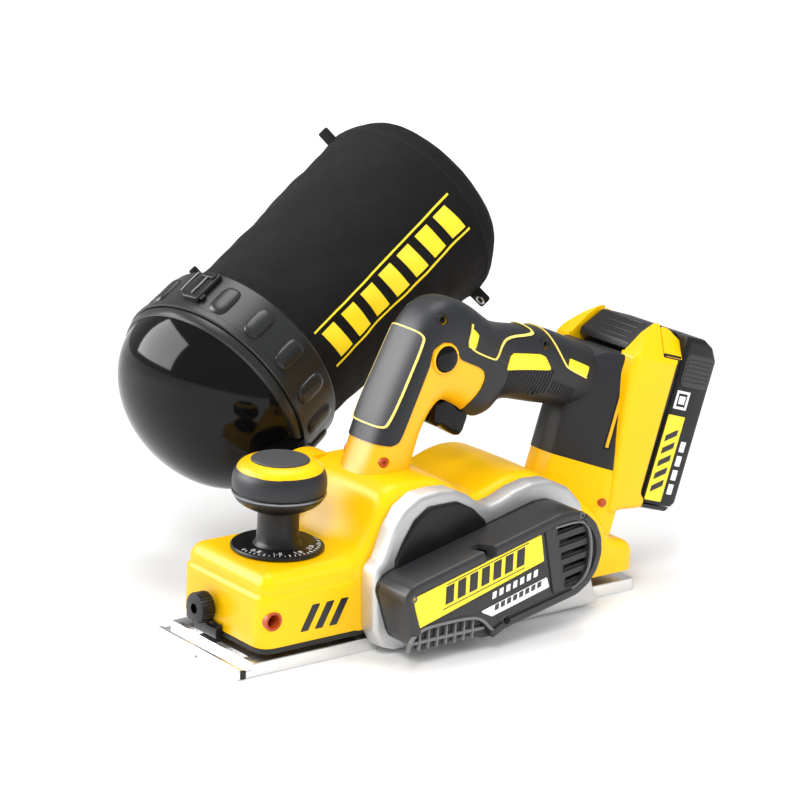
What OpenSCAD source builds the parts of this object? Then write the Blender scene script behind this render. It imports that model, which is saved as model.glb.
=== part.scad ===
// Cordless hand planer with a slide-on battery pack and a swivelling dust bag.
// Millimetres. +X runs to the rear, +Y to the dust bag side, +Z up.
// The origin lies on the sole, at the middle of the rear shoe.

/* [Shoes] */
// Width of both shoes, and of the cut
shoe_w = 82; // [80:0.5:84]
// X of the front edge of the front shoe
shoe_front = -217; // [-222:1:-214]
// X of the rear edge of the rear shoe
shoe_rear = 77; // [75:1:80]
// Thickness of the shoe plates
shoe_t = 8.4; // [7.5:0.1:9]
// Half width of the throat at the sole, each side of the drum axis
throat = 13; // [12:0.5:14]
// Greatest depth of cut, which is how far the front shoe rises
cut_depth = 2; // [1:0.1:2]

/* [Drum and motor] */
// X of the drum axis
drum_x = -99; // [-101:0.5:-97]
// Radius of the drum body
drum_r = 23.5; // [23:0.1:23.8]
// X of the motor axis
motor_x = -14; // [-16:0.5:-12]
// Height of the motor axis
motor_z = 50; // [48:0.5:52]
// Radius of the pulley on the drum
drum_pulley_r = 8; // [7.5:0.1:8.2]
// Radius of the pulley on the motor
motor_pulley_r = 11; // [10:0.5:12]

/* [Belt side] */
// Thickness of the casting flange beside the body
flange_t = 13; // [11:0.5:14]
// Depth of the belt cover
cover_d = 26; // [24:0.5:28]

/* [Depth knob] */
// X of the knob axis
knob_x = -163; // [-165:1:-161]
// Radius of the depth dial and of the knob
knob_r = 27; // [26:0.2:28]
// Height of the deck that the dial lies on
deck_z = 57; // [56:0.5:58]

/* [Handle] */
// Half width of the handle over its soft cover
handle_hw = 19; // [18:0.5:20]
// Thickness of the soft cover
skin = 2; // [1.5:0.1:2.5]
// Half width of the rear column
column_hw = 36; // [34:0.5:37]

/* [Battery pack] */
// Lean of the pack's long axis from the vertical, towards the rear
pack_tilt = 16.8; // [15:0.1:18]
// Length of the pack
pack_l = 109; // [106:1:112]
// Half width of the pack
pack_hw = 37.5; // [36.5:0.5:38]

/* [Dust bag] */
// X of the chip port's axis, which the elbow swivels about
port_x = -113; // [-114:0.5:-112]
// Height of the chip port's axis
port_z = 70; // [69:0.5:71]
// Radius of the bore of the chip port
port_r = 19.5; // [19:0.1:20]
// Radius of the bag collar over its rim
collar_r = 67; // [64:0.5:68]
// Length of the fabric bag from the collar to its end seam
bag_l = 174; // [150:1:180]
// Radius of the bag at its end seam
bag_end_r = 66.5; // [60:0.5:68]
// Height of the bulging end panel past its seam
bag_bulge = 26; // [10:1:30]
// Sag of the bag away from the collar's axis
bag_lean = 2.4; // [0:0.1:2.6]
// Upward slope of the bag's axis
bag_rise = 28.9; // [26:0.1:30]
// Outward yaw of the bag's axis
bag_yaw = 12.7; // [11:0.1:14]

/* [Hidden] */
$fn = 96;

yellow = "#f7c912";
dark = "#3a3b3e";
black = "#161616";

hw = shoe_w / 2;
drum_z = 25;
flange_y = -hw - flange_t;      // outer face of the flange
cover_back = flange_y - 2.2;    // back edge of the belt cover
cover_y = cover_back - cover_d; // outer face of the belt cover
belt_y = [flange_y - 18, flange_y - 6];
wall = 3;
neck_r = 23;                    // outer radius of the elbow's neck
gap = 0.3;

// Points of an arc round (x, z), from angle a to angle b
function arc(x, z, r, a, b, n = 8) =
    [for (i = [0:n]) [x + r * cos(a + (b - a) * i / n), z + r * sin(a + (b - a) * i / n)]];

// A side outline in X and Z, given thickness from Y = a to Y = b
module side(a, b) {
    translate([0, b, 0]) rotate([90, 0, 0]) linear_extrude(b - a) children();
}
// A cylinder along Y, from Y = a to Y = b
module rod(x, z, r, a, b) {
    translate([x, b, z]) rotate([90, 0, 0]) cylinder(r = r, h = b - a);
}
// A ring along Y
module tube(x, z, r_in, r_out, a, b) {
    difference() {
        rod(x, z, r_out, a, b);
        rod(x, z, r_in, a - 1, b + 1);
    }
}
// Frame of the battery pack: X is out of the dock, Z along the pack
module in_pack() {
    rotate([0, pack_tilt, 0]) children();
}
// Frame of the dust bag: Z runs along the bag from the collar's front rim
module in_bag() {
    translate([-122.3, 125, 111.5]) rotate([0, 0, bag_yaw]) rotate([0, 90 - bag_rise, 0]) children();
}

// ---- outlines ----

// Top line of the yellow body, from the nose to the tail
BODY_TOP = concat([[-201.5, 44], [-200, 45.5]], arc(-193, 50, 7, 180, 90, 4),
                  [[-134, 57], [-129.5, 63], [-122.5, 83]], arc(-111, 86, 11, 150, 90, 3),
                  [[-80, 97], [-68, 92], [-55, 83], [-47, 81.5], [-36, 85]],
                  arc(-12, 54, 36, 105, 45, 5), [[32, 66], [48, 54], [52, 40], [63, 34]],
                  arc(68, 25, 9, 70, 0, 3));
module body_outline(low = 14) {
    polygon(concat(BODY_TOP, [[shoe_rear, low], [-201.5, low]]));
}
module body_solid(y = 0) {
    side(-hw + y, hw - y) body_outline();
}

// Outer line of the casting flange
FLANGE = concat([[-133.5, 44]], arc(-126.5, 50, 7, 180, 100, 3), [[-122, 69]],
                arc(-92, 73, 20, 145, 80, 5), [[-64, 86], [-51, 77.5], [-33, 83]],
                arc(-12, 53, 35, 105, -5, 9), [[27, 26], [34, 12], [38, 3]],
                [[-118, 3], [-126, 8]]);

// Outline of the belt cover
module cover_outline() {
    polygon(concat(arc(-122, 42, 11, 180, 100, 5), arc(motor_x, motor_z, 27.5, 102, -70, 14),
                   [[-58, 13.5], [-66, 9.5], [-72, 9.5], [-84, 13], [-104, 11.5]],
                   arc(-116, 19.5, 9, -90, -170, 4)));
}

// Outline of the front column and the top of the handle
COLUMN_FRONT = [[-119, 84], [-111, 116], [-101, 145], [-89, 170]];
HANDLE_TOP = concat(arc(-68, 170, 21.5, 165, 88, 5), arc(-54, 166, 26, 84, 38, 4),
                    [[-22, 175], [-10, 171], [10, 167], [28, 162.5], [44, 156], [62, 150]]);
module handle_outline() {
    polygon(concat(COLUMN_FRONT, HANDLE_TOP,
                   [[62, 112], [31, 117], [11, 120.5], [-8, 125], [-18, 127], [-25, 125],
                    [-33, 117], [-40, 122], [-50, 129], [-58, 131], [-65, 127], [-72, 115],
                    [-77, 97], [-79, 84]]));
}
// Yellow area of the column and of the block round the trigger
module yellow_area() {
    polygon([[-130, 80], [-119, 108], [-93, 114], [-73, 160], [-66, 170], [-56, 168], [-52, 159],
             [-34, 152], [-30, 144], [-38, 131], [-40, 118], [-60, 80]]);
}
// The column's cross-section in the pack's frame
module column_outline(end = 40, y = column_hw) {
    polygon([[end, -y], [12, -y], [0, -y + 10], [-6, -y + 20], [-8, -y + 30],
             [-8, y - 30], [-6, y - 20], [0, y - 10], [12, y], [end, y]]);
}
dock_n = [40, 64];       // the dock's yellow frame, across the pack's thickness
dock_l = [70, 182];      // and along the pack
panel_l = [91.5, 160];   // the dark panels on the rear column
pack_n = [49, 64, 93.7]; // inner face, parting line and outer face of the pack
pack_base = 72.5;

// Screw places on the handle: X, Z
SCREWS = [[-102, 103], [-63, 182], [17, 157], [9, 129]];
lock_at = [-62, 160];
trigger_dir = [0.5, 0, 0.866];

// ---- casting, housing and fixed parts ----

module base_casting() {
    color("silver") difference() {
        union() {
            side(-hw, hw) polygon([[drum_x + throat, 0], [shoe_rear, 0], [shoe_rear, shoe_t],
                                   [drum_x + 22, shoe_t]]);
            side(flange_y, -hw - gap) polygon(FLANGE);
            side(-hw - 1, -hw + 1) polygon([[-76, 3], [36, 3], [36, shoe_t], [-76, shoe_t]]);
            side(hw + 0.4, hw + 5.4) hull() {
                translate([drum_x, drum_z]) circle(20);
                translate([-50, 4]) square([4, shoe_t - 4]);
            }
            side(hw - 1, hw + 1) polygon([[-76, 4], [-46, 4], [-46, shoe_t], [-76, shoe_t]]);
        }
        rod(drum_x, drum_z, 13, flange_y - 1, flange_y + 8);
        rod(drum_x, drum_z, 8, flange_y - 1, -hw + 1);
        rod(drum_x, drum_z, 8, hw - 2, hw + 6);
        rod(motor_x, motor_z, 9, flange_y - 1, -hw + 1);
    }
}

module main_housing() {
    color(yellow) difference() {
        union() {
            difference() {
                body_solid();
                side(-hw + wall, hw - wall) offset(delta = -wall) body_outline(0);
                side(-hw - 1, hw + 1) polygon([[-128, 0], [-70, 0], [-70, 26], [-128, 26]]);
                rod(motor_x, motor_z, 27, -hw - 1, -hw + wall + 1);
            }
            rod(port_x, port_z + 1, 26, 30, hw + 5);
            rod(-193.5, 30.7, 8, -hw + 1, -hw + 13);
            translate([-201, 8, 27]) rotate([0, 90, 0]) cylinder(r = 7, h = 11);
        }
        rod(drum_x, drum_z, 29, -hw - 1, hw + 1);
        rod(port_x, port_z, port_r + 2.5, 20, hw + 6);
        side(20, 29) offset(delta = -wall) body_outline(0);
        rod(-193.5, 30.7, 5.5, -hw - 1, -hw + 14);
        translate([-203, 8, 27]) rotate([0, 90, 0]) cylinder(r = 3.1, h = 14);
        translate([knob_x, 0, 40]) cylinder(r = 9, h = 20);
        translate([DUCT[0][0], 29, DUCT[1][0]])
            cube([DUCT[0][1] - DUCT[0][0], 8, DUCT[1][1] - DUCT[1][0]]);
    }
}
module housing_gasket() {
    color(black) translate([0, 0, shoe_t + cut_depth + gap]) linear_extrude(3.3) difference() {
        translate([-201.5, -hw]) square([72, shoe_w]);
        translate([-198.5, -hw + wall]) square([73, shoe_w - 2 * wall]);
    }
}
module nose_bracket() {
    color(black) translate([-206.5, -4, 11.5]) difference() {
        cube([5, 23, 8]);
        translate([-1, 12, 15.5]) rotate([0, 90, 0]) cylinder(r = 10, h = 8);
    }
}
module fence_bush() {
    color("goldenrod") tube(-193.5, 30.7, 4, 5.5, -hw, -hw + 12.5);
}

// One half of the handle shell, on the side given by s = -1 or 1
module handle_half(s) {
    difference() {
        union() {
            scale_side(s, 0, handle_hw - skin) offset(delta = -skin) handle_outline();
            scale_side(s, handle_hw - skin, handle_hw) intersection() {
                handle_outline();
                yellow_area();
            }
            half(s) in_pack() {
                translate([0, 0, 45]) linear_extrude(panel_l[1] - skin - 45) difference() {
                    offset(delta = -skin) column_outline(37);
                    offset(delta = -skin - wall) column_outline(60);
                }
                translate([0, 0, 45]) linear_extrude(panel_l[0] - 45) difference() {
                    column_outline();
                    offset(delta = -skin) column_outline(60);
                }
            }
        }
        scale_side(s, -0.1, handle_hw - skin - wall) offset(delta = -skin - wall) handle_outline();
        body_solid();
        trigger_space();
        rod(lock_at[0], lock_at[1], 7.6, -30, 30);
        for (p = SCREWS) rod(p[0], p[1], 3.1, -30, 30);
        in_pack() translate([pack_n[0] - 14, -24.4, 60]) cube([20, 48.8, 120]);
    }
}
// A side plate from a to b out from the middle, on side s
module scale_side(s, a, b) {
    if (s < 0) side(-b, -a) children();
    else side(a, b) children();
}
module half(s) {
    intersection() {
        children();
        translate([-150, s < 0 ? -60 : 0, 0]) cube([260, 60, 230]);
    }
}
module trigger_space() {
    side(-9, 9) polygon([[-66, 100], [-60, 140], [-52, 147], [-26, 147], [-26, 130], [-30, 100]]);
}
module handle_left() {
    color(yellow) handle_half(-1);
}
module handle_right() {
    color(yellow) handle_half(1);
}

// The soft cover on one half of the handle
module grip_half(s) {
    difference() {
        scale_side(s, 0, handle_hw) handle_outline();
        scale_side(s, -1, handle_hw - skin) offset(delta = -skin) handle_outline();
        scale_side(s, -1, handle_hw + 1) yellow_area();
        in_pack() translate([-8, -60, 60]) cube([60, 120, panel_l[1] - 60]);
        side(-7, 7) polygon([[-140, 113], [-108, 113], [-80, 175], [-110, 190]]);
        trigger_space();
        body_solid();
        rod(lock_at[0], lock_at[1], 7.6, -30, 30);
        for (p = SCREWS) rod(p[0], p[1], 3.1, -30, 30);
    }
}
module grip_left() {
    color(dark) grip_half(-1);
}
module grip_right() {
    color(dark) grip_half(1);
}
// Ribbed rubber pad set into the front of the column
module front_pad() {
    color("dimgray") intersection() {
        difference() {
            side(-7, 7) handle_outline();
            side(-8, 8) offset(delta = -skin) handle_outline();
        }
        side(-7, 7) polygon([[-140, 114], [-108.5, 114], [-80.5, 174], [-110, 190]]);
    }
}
// The dark panel on one side of the rear column
module rear_panel(s) {
    half(s) difference() {
        in_pack() translate([0, 0, panel_l[0]]) linear_extrude(panel_l[1] - panel_l[0])
            column_outline();
        in_pack() translate([0, 0, panel_l[0] - 1]) linear_extrude(panel_l[1] - skin - panel_l[0] + 1)
            offset(delta = -skin) column_outline(60);
        in_pack() translate([pack_n[0] - 14, -24.4, panel_l[0]]) cube([20, 48.8, 90]);
        side(-handle_hw + skin, handle_hw - skin) offset(delta = -skin) handle_outline();
        for (p = SCREWS) rod(p[0], p[1], 3.1, -30, 30);
    }
}
module rear_panel_left() {
    color(dark) rear_panel(-1);
}
module rear_panel_right() {
    color(dark) rear_panel(1);
}
// Raised yellow accents on both sides of the soft cover
module grip_inlays() {
    color(yellow) for (s = [-1, 1]) scale_side(s, handle_hw, handle_hw + 0.6) {
        polygon([[-12, 152], [-8, 156], [10, 154], [14, 147], [-14, 147]]);
        polygon([[-46, 171], [-42, 174], [-40, 168], [-45, 161], [-48, 163]]);
    }
}

module battery_dock() {
    color(yellow) difference() {
        in_pack() difference() {
            rotate([90, 0, 0]) translate([0, 0, -pack_hw - 1]) linear_extrude(2 * pack_hw + 2)
                polygon([[dock_n[0], dock_l[0]], [dock_n[1], dock_l[0]], [dock_n[1], dock_l[1] - 1],
                         [dock_n[1] - 10, dock_l[1] + 2], [dock_n[0] - 11, 160.2], [dock_n[0], 160.2]]);
            translate([pack_n[0] - 0.5, -36.3, pack_base - 0.3]) cube([50, 72.6, 130]);
            translate([pack_n[0] - 14, -24.4, pack_base - 0.3]) cube([20, 48.8, 130]);
        }
        body_solid();
    }
}
BLADES = [-15, -5, 5, 15]; // Y of the dock's contact blades
module dock_terminals() {
    color(black) in_pack() {
        translate([30, -30.5, 84]) cube([4.6, 61, 40]);
        for (y = BLADES) translate([34.5, y - 0.4, 96]) cube([6, 0.8, 12]);
    }
}

module guard_panel() {
    color(black) difference() {
        union() {
            side(flange_y - 2, flange_y) offset(delta = -1.5) cover_outline();
            side(flange_y - 1.5, flange_y) polygon([[-119, 46], [-120, 58], [-108, 79], [-97, 86.5],
                                                    [-77, 86.5], [-65, 80], [-54, 70], [-60, 50]]);
        }
        rod(drum_x, drum_z, 7, flange_y - 3, flange_y + 1);
        rod(motor_x, motor_z, 6, flange_y - 3, flange_y + 1);
    }
}
module belt_cover() {
    color(dark) difference() {
        union() {
            side(cover_y + 4, cover_back) cover_outline();
            side(cover_y, cover_y + 4.5) offset(delta = -3) cover_outline();
        }
        side(cover_y + 2.5, cover_y + 6.1) offset(delta = -5) cover_outline();
        side(cover_y + 6, cover_back + 1) offset(delta = -2) cover_outline();
        for (i = [0:4]) side(cover_y - 1, cover_y + 4)
            translate([-20 + i * 1.8, 62.5 - i * 8.4]) square([22 - abs(i - 2) * 1.5, 5]);
        for (p = COVER_SCREWS) rod(p[0], p[1], 2.6, cover_y - 1, cover_y + 4);
    }
}
COVER_SCREWS = [[-126, 43], [-5, 72], [-62, 16]]; // X, Z
module cover_screws() {
    color("gray") for (p = COVER_SCREWS) rod(p[0], p[1], 2.6, cover_y + 0.6, cover_y + 3.4);
}
module cover_label() {
    color(yellow) side(cover_y - 0.4, cover_y)
        polygon([[-123, 24], [-120, 18.5], [-60, 22], [-27, 32], [-26, 68], [-34, 66.5], [-127, 44.5]]);
}
module housing_screws() {
    color("gray") for (p = SCREWS) {
        rod(p[0], p[1], 3.1, -15, -12);
        rod(p[0], p[1], 1.8, -13, 12);
    }
}

// Drum chamber and the duct from it to the chip port
DUCT = [[-118.5, -91], [44, 84]]; // the duct's X and Z limits
module chip_duct() {
    color("#262626") difference() {
        union() {
            rod(port_x, port_z, port_r + 2.5, 30, hw + 5);
            translate([DUCT[0][0], -30, DUCT[1][0]])
                cube([DUCT[0][1] - DUCT[0][0], 67, DUCT[1][1] - DUCT[1][0]]);
            intersection() {
                rod(drum_x, drum_z, 28.7, -hw + 0.5, hw - 0.2);
                translate([-140, -hw, 27]) cube([80, shoe_w, 60]);
            }
        }
        rod(port_x, port_z, port_r, 29, hw + 6);
        rod(drum_x, drum_z, 26.3, -hw - 1, hw + 1);
        translate([DUCT[0][0] + 2, -28, DUCT[1][0] - 1])
            cube([DUCT[0][1] - DUCT[0][0] - 4, 63, DUCT[1][1] - DUCT[1][0] - 1]);
    }
}

// ---- drive ----

module motor_frame() {
    color("gray") difference() {
        union() {
            rod(motor_x, motor_z, 26.5, -hw + 0.3, -32);
            rod(motor_x, motor_z, 26.5, -32.5, 22);
            rod(motor_x, motor_z, 14, 21, 30);
        }
        rod(motor_x, motor_z, 24, -33, 19);
        rod(motor_x, motor_z, 11, -hw + 2, -30);
        rod(motor_x, motor_z, 6, -hw - 1, -30);
        rod(motor_x, motor_z, 24, 18, 19);
        rod(motor_x, motor_z, 11, 23, 31);
        rod(motor_x, motor_z, 6, 17, 25);
        for (a = [0:45:315]) translate([motor_x, 0, motor_z]) rotate([0, a, 0])
            translate([14, 17, -2]) cube([8, 8, 4]);
    }
}
module motor_stator() {
    color("#8a5a2b") tube(motor_x, motor_z, 14.8, 24, -27, 8);
}
module motor_bearings() {
    color("silver") {
        tube(motor_x, motor_z, 4.05, 11, -hw + 2, -33);
        tube(motor_x, motor_z, 4.05, 11, 23, 30);
    }
}
module drum_bearings() {
    color("silver") {
        tube(drum_x, drum_z, 6.05, 13, flange_y + 0.4, flange_y + 8);
        tube(drum_x, drum_z, 4.05, 8, hw + 0.4, hw + 5.4);
    }
}
module motor_rotor() {
    color("dimgray") {
        rod(motor_x, motor_z, 4, belt_y[0] - 2, 30);
        rod(motor_x, motor_z, 14, -26, 7);
    }
}
module cooling_fan() {
    color(black) difference() {
        union() {
            tube(motor_x, motor_z, 4, 8, 9, 17.5);
            rod(motor_x, motor_z, 22, 9, 10.5);
            for (a = [0:36:324]) translate([motor_x, 0, motor_z]) rotate([0, a, 0])
                translate([7, 10, -0.8]) cube([14.5, 7, 1.6]);
        }
        rod(motor_x, motor_z, 4, 0, 30);
    }
}
module pulley(x, z, r, bore) {
    difference() {
        union() {
            rod(x, z, r, belt_y[0] - 1, belt_y[1] + 1);
            rod(x, z, r + 1.6, belt_y[1] + 0.6, belt_y[1] + 2);
        }
        rod(x, z, bore, belt_y[0] - 3, belt_y[1] + 3);
        for (i = [0:3]) tube(x, z, r - 0.8, r + 1, belt_y[0] + 1.5 + i * 2.6, belt_y[0] + 2.5 + i * 2.6);
    }
}
module motor_pulley() {
    color("silver") pulley(motor_x, motor_z, motor_pulley_r, 4);
}
module drum_pulley() {
    color("silver") pulley(drum_x, drum_z, drum_pulley_r, 6);
}
module drive_belt() {
    color(black) side(belt_y[0], belt_y[1]) difference() {
        hull() {
            translate([drum_x, drum_z]) circle(drum_pulley_r + 2.6);
            translate([motor_x, motor_z]) circle(motor_pulley_r + 2.6);
        }
        hull() {
            translate([drum_x, drum_z]) circle(drum_pulley_r + gap);
            translate([motor_x, motor_z]) circle(motor_pulley_r + gap);
        }
    }
}

// Turns its children to each of the two blade places round the drum axis
module at_blades() {
    for (a = [0, 180]) translate([drum_x, 0, drum_z]) rotate([0, a, 0]) children();
}
module cutter_drum() {
    color("gray") difference() {
        union() {
            rod(drum_x, drum_z, drum_r, -hw + 0.5, hw - 0.5);
            rod(drum_x, drum_z, 6, belt_y[0] - 2, -hw + 1);
            rod(drum_x, drum_z, 7.5, -hw - 4.6, -hw + 1);
            rod(drum_x, drum_z, 4, hw - 1, hw + 5.4);
        }
        at_blades() translate([13, -hw - 1, -5.5]) cube([20, shoe_w + 2, 8]);
    }
}
module drum_blades() {
    color("white") at_blades() translate([14, -hw + 0.6, 1.2]) cube([10.85, shoe_w - 1.2, 1.2]);
}
module blade_clamps() {
    color("darkgray") difference() {
        at_blades() translate([13, -hw + 1, -5.5]) cube([9.3, shoe_w - 2, 6.7]);
        at_blades() for (y = [-28, 0, 28]) translate([18, y, -2.2]) rotate([0, 90, 0])
            cylinder(r = 2.4, h = 6);
    }
}
module clamp_screws() {
    color("gray") at_blades() for (y = [-28, 0, 28]) translate([18, y, -2.2]) rotate([0, 90, 0])
        cylinder(r = 2.4, h = 4);
}

// ---- electronics ----

module controller_module() {
    color("darkgreen") translate([20, -24, 16]) cube([30, 48, 16]);
}
module switch_module() {
    color(black) translate([-50, -11, 150]) cube([26, 22, 20]);
}

// ---- depth adjustment ----

module depth_dial() {
    color(black) translate([knob_x, 0, deck_z + gap]) difference() {
        cylinder(r = knob_r, h = 2.7);
        translate([0, 0, -1]) cylinder(r = 5, h = 5);
    }
}
module knob_core() {
    color(black) translate([knob_x, 0, 0]) rotate_extrude() difference() {
        polygon([[0, 60], [14.5, 60], [12.3, 62.5], [12, 80], [15, 81.2], [22, 84.5], [26.2, 89],
                 [26.2, 90], [0, 90]]);
        translate([0, 58]) square([5, 22]);
    }
}
module knob_band() {
    color("silver") translate([knob_x, 0, 90]) cylinder(r = knob_r + 0.2, h = 1.8);
}
module knob_grip() {
    color("#2b2b2d") translate([knob_x, 0, 0]) rotate_extrude()
        polygon([[0, 91.8], [26.4, 91.8], [27, 94], [27, 100], [26, 103.4], [24.4, 105.2],
                 [0, 105.2]]);
}
module knob_ring() {
    color(yellow) translate([knob_x, 0, 0]) rotate_extrude()
        polygon([[0, 105.2], [24.4, 105.2], [22.8, 107.4], [20.5, 108.9], [17, 109.6], [0, 109.6]]);
}
module knob_cap() {
    color("dimgray") translate([knob_x, 0, 109.6]) cylinder(r1 = 17, r2 = 16.4, h = 1.4);
}
module depth_spindle() {
    color("silver") translate([knob_x, 0, 13]) cylinder(r = 5, h = 67);
}
module spindle_bush() {
    color("goldenrod") translate([knob_x, 0, 42]) difference() {
        cylinder(r = 9, h = 15);
        translate([0, 0, -1]) cylinder(r = 5.06, h = 17);
    }
}
POSTS = [[-146, 27], [-146, -27]];
module guide_sleeves() {
    color("#444444") for (p = POSTS) translate([p[0], p[1], 18]) difference() {
        cylinder(r = 7, h = deck_z - wall - 18);
        translate([0, 0, -1]) cylinder(r = 4.06, h = 50);
    }
}
module depth_spring() {
    color("gray") for (i = [0:5]) translate([knob_x, 0, 16.95 + i * 4.82]) rotate_extrude()
        translate([7.4, 0]) circle(r = 0.9, $fn = 24);
}
module front_shoe() {
    color("silver") difference() {
        union() {
            side(-hw, hw) polygon([[shoe_front, 0], [drum_x - throat, 0], [drum_x - 22, shoe_t],
                                   [-211, shoe_t], [-211, 5], [shoe_front, 4.2]]);
            translate([knob_x, 0, shoe_t - 1]) cylinder(r = 12, h = 17 - shoe_t);
            for (p = POSTS) translate([p[0], p[1], shoe_t - 1]) cylinder(r = 4, h = 32);
        }
        translate([knob_x, 0, 3]) cylinder(r = 5.06, h = 20);
        translate([shoe_front - 1, 0, 0]) rotate([45, 0, 0]) translate([0, -2.1, -2.1])
            cube([120, 4.2, 4.2]);
    }
}

// ---- controls ----

module trigger() {
    color(black) difference() {
        side(-8.3, 8.3) polygon(concat([[-55, 137], [-57, 127]], arc(-53, 108, 8, 120, 10, 5),
                        [[-37, 106], [-33, 112], [-31, 120], [-31, 137]]));
        rod(-51, 107, 6.5, -10, 10);
    }
}
module lock_button() {
    color(black) rod(lock_at[0], lock_at[1], 7.5, -handle_hw - 3, handle_hw + 3);
}
module fence_screw() {
    color(black) translate([-214, 8, 27]) rotate([0, 90, 0]) {
        difference() {
            cylinder(r = 9, h = 9.5);
            for (a = [0:20:340]) rotate(a) translate([9.4, 0, -1]) cylinder(r = 0.9, h = 12, $fn = 16);
        }
        cylinder(r = 3, h = 24);
    }
}

// ---- battery pack ----

module battery_case() {
    color(black) in_pack() difference() {
        rotate([90, 0, 0]) translate([0, 0, -pack_hw]) linear_extrude(2 * pack_hw)
            polygon([[pack_n[1] + gap, pack_base], [pack_n[2] - 6.5, pack_base],
                     [pack_n[2], pack_base + 6], [pack_n[2], pack_base + pack_l - 10],
                     [pack_n[2] - 14, pack_base + pack_l], [pack_n[1] + gap, pack_base + pack_l]]);
        translate([pack_n[1] - 1, -pack_hw + 2.5, pack_base + 2.5])
            cube([pack_n[2] - pack_n[1] - 2, 2 * pack_hw - 5, pack_l - 15]);
    }
}
module battery_cover() {
    color("#202020") in_pack() difference() {
        union() {
            translate([pack_n[0], -35.8, pack_base]) cube([pack_n[1] + gap - pack_n[0], 71.6, pack_l]);
            translate([36, -24, pack_base + 4]) cube([pack_n[0] - 35.5, 48, pack_l - 16]);
        }
        translate([pack_n[0] + 2.5, -33.4, pack_base + 2.5]) cube([20, 66.8, pack_l - 15]);
        for (s = [-1, 1]) translate([40, s * 24 - 2, pack_base]) cube([6, 4, pack_l]);
        for (y = BLADES) translate([35, y - 0.8, pack_base]) cube([8, 1.6, 38]);
        translate([34, -18, pack_base + pack_l - 26]) cube([14.9, 36, 20]);
    }
}
module battery_cells() {
    color("steelblue") in_pack() for (i = [0:4], j = [0:1])
        translate([61.5 + j * 19.4, 32.5, pack_base + 12 + i * 18.6]) rotate([90, 0, 0])
            cylinder(r = 9.2, h = 65);
}
module battery_grips() {
    color("dimgray") in_pack() for (s = [-1, 1])
        translate([70, s < 0 ? -pack_hw - 1 : pack_hw, pack_base + 78]) cube([20, 1, 20]);
}
module battery_label() {
    color(yellow) in_pack() for (s = [-1, 1])
        translate([66, s < 0 ? -pack_hw - 0.4 : pack_hw, pack_base + 4]) cube([14, 0.4, 56]);
}
module battery_latch() {
    color(black) in_pack() difference() {
        rotate([90, 0, 0]) translate([0, 0, -17.7]) linear_extrude(35.4)
            polygon([[37, 160], [48.6, 160], [48.6, 183], [37, 173]]);
        for (i = [0:3]) translate([38.2 + i * 2.8, -20, 172 + i * 2.4]) rotate([0, 49, 0])
            cube([1.2, 40, 4]);
    }
}

// ---- dust bag ----

// Points of a dome of radius r and height h, below the collar's front rim
function dome(r, h, n = 14) = [for (i = [0:n]) [r * cos(90 * i / n), -h * sin(90 * i / n)]];
module bag_elbow() {
    color(black) difference() {
        union() {
            in_bag() rotate_extrude() polygon(concat([[0, 8], [60, 8], [60, 0]], dome(collar_r - 3, 57)));
            rod(port_x, port_z, neck_r, hw + 5.3, 118);
            rod(port_x, port_z, port_r - 0.08, hw - 8, hw + 6);
        }
        in_bag() rotate_extrude() polygon(concat([[0, 9], [57, 9]], dome(57, 53)));
        rod(port_x, port_z, port_r - 2.6, hw - 9, 104);
        in_bag() difference() {
            cylinder(r = collar_r + 20, h = 60);
            translate([0, 0, -1]) cylinder(r = 60, h = 9);
        }
    }
}
module bag_collar() {
    color("#26272a") in_bag() difference() {
        union() {
            translate([0, 0, 0.3]) cylinder(r = collar_r - 2, h = 35.4);
            translate([0, 0, 0.3]) cylinder(r = collar_r, h = 5);
        }
        translate([0, 0, -1]) cylinder(r = 64.3, h = 2);
        translate([0, 0, 0.5]) cylinder(r = 61, h = 8);
        cylinder(r = 61, h = 9);
        translate([0, 0, 5]) cylinder(r = 60.5, h = 40);
    }
}
// Half outline of the bag, from its mouth to the middle of its end; t is an inset
function bag_half(t) = concat([[58.2 - t, 14], [58.4 - t, 36]],
    [for (i = [0:8]) [(bag_end_r - t) * pow(cos(90 * i / 8), 2 / 3),
                      14 + bag_l + (bag_bulge - t) * pow(sin(90 * i / 8), 2 / 3)]]);
module dust_bag() {
    color("#1c1c1c") in_bag() rotate(-45) rotate([0, bag_lean, 0]) rotate_extrude() difference() {
        polygon(concat([[0, 14]], bag_half(0)));
        polygon(concat([[0, 13], [56.4, 13]], bag_half(1.8)));
    }
}
module bag_clip() {
    color(black) in_bag() difference() {
        rotate(180) translate([collar_r - 4, -7, 8]) cube([7.4, 14, 26]);
        cylinder(r = collar_r - 2, h = 40);
    }
}

base_casting();
main_housing();
housing_gasket();
handle_left();
handle_right();
grip_left();
grip_right();
rear_panel_left();
rear_panel_right();
front_pad();
grip_inlays();
battery_dock();
dock_terminals();
guard_panel();
belt_cover();
cover_label();
cover_screws();
housing_screws();
chip_duct();
fence_bush();
nose_bracket();
motor_frame();
motor_stator();
motor_bearings();
drum_bearings();
controller_module();
switch_module();
drive_belt();
spindle_bush();
guide_sleeves();
depth_spring();
cutter_drum();
drum_blades();
blade_clamps();
clamp_screws();
drum_pulley();
motor_rotor();
cooling_fan();
motor_pulley();
depth_dial();
knob_core();
knob_band();
knob_grip();
knob_ring();
knob_cap();
depth_spindle();
front_shoe();
trigger();
lock_button();
fence_screw();
battery_case();
battery_cover();
battery_cells();
battery_grips();
battery_label();
battery_latch();
bag_elbow();
bag_collar();
dust_bag();
bag_clip();
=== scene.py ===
"""Looks for the cordless hand planer: shells, soft covers, knob, pack and dust bag built round the CAD frame.

Lengths in this file are millimetres until a mesh is made. X runs to the rear, Y to the dust bag, Z up.
"""
import math

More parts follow.
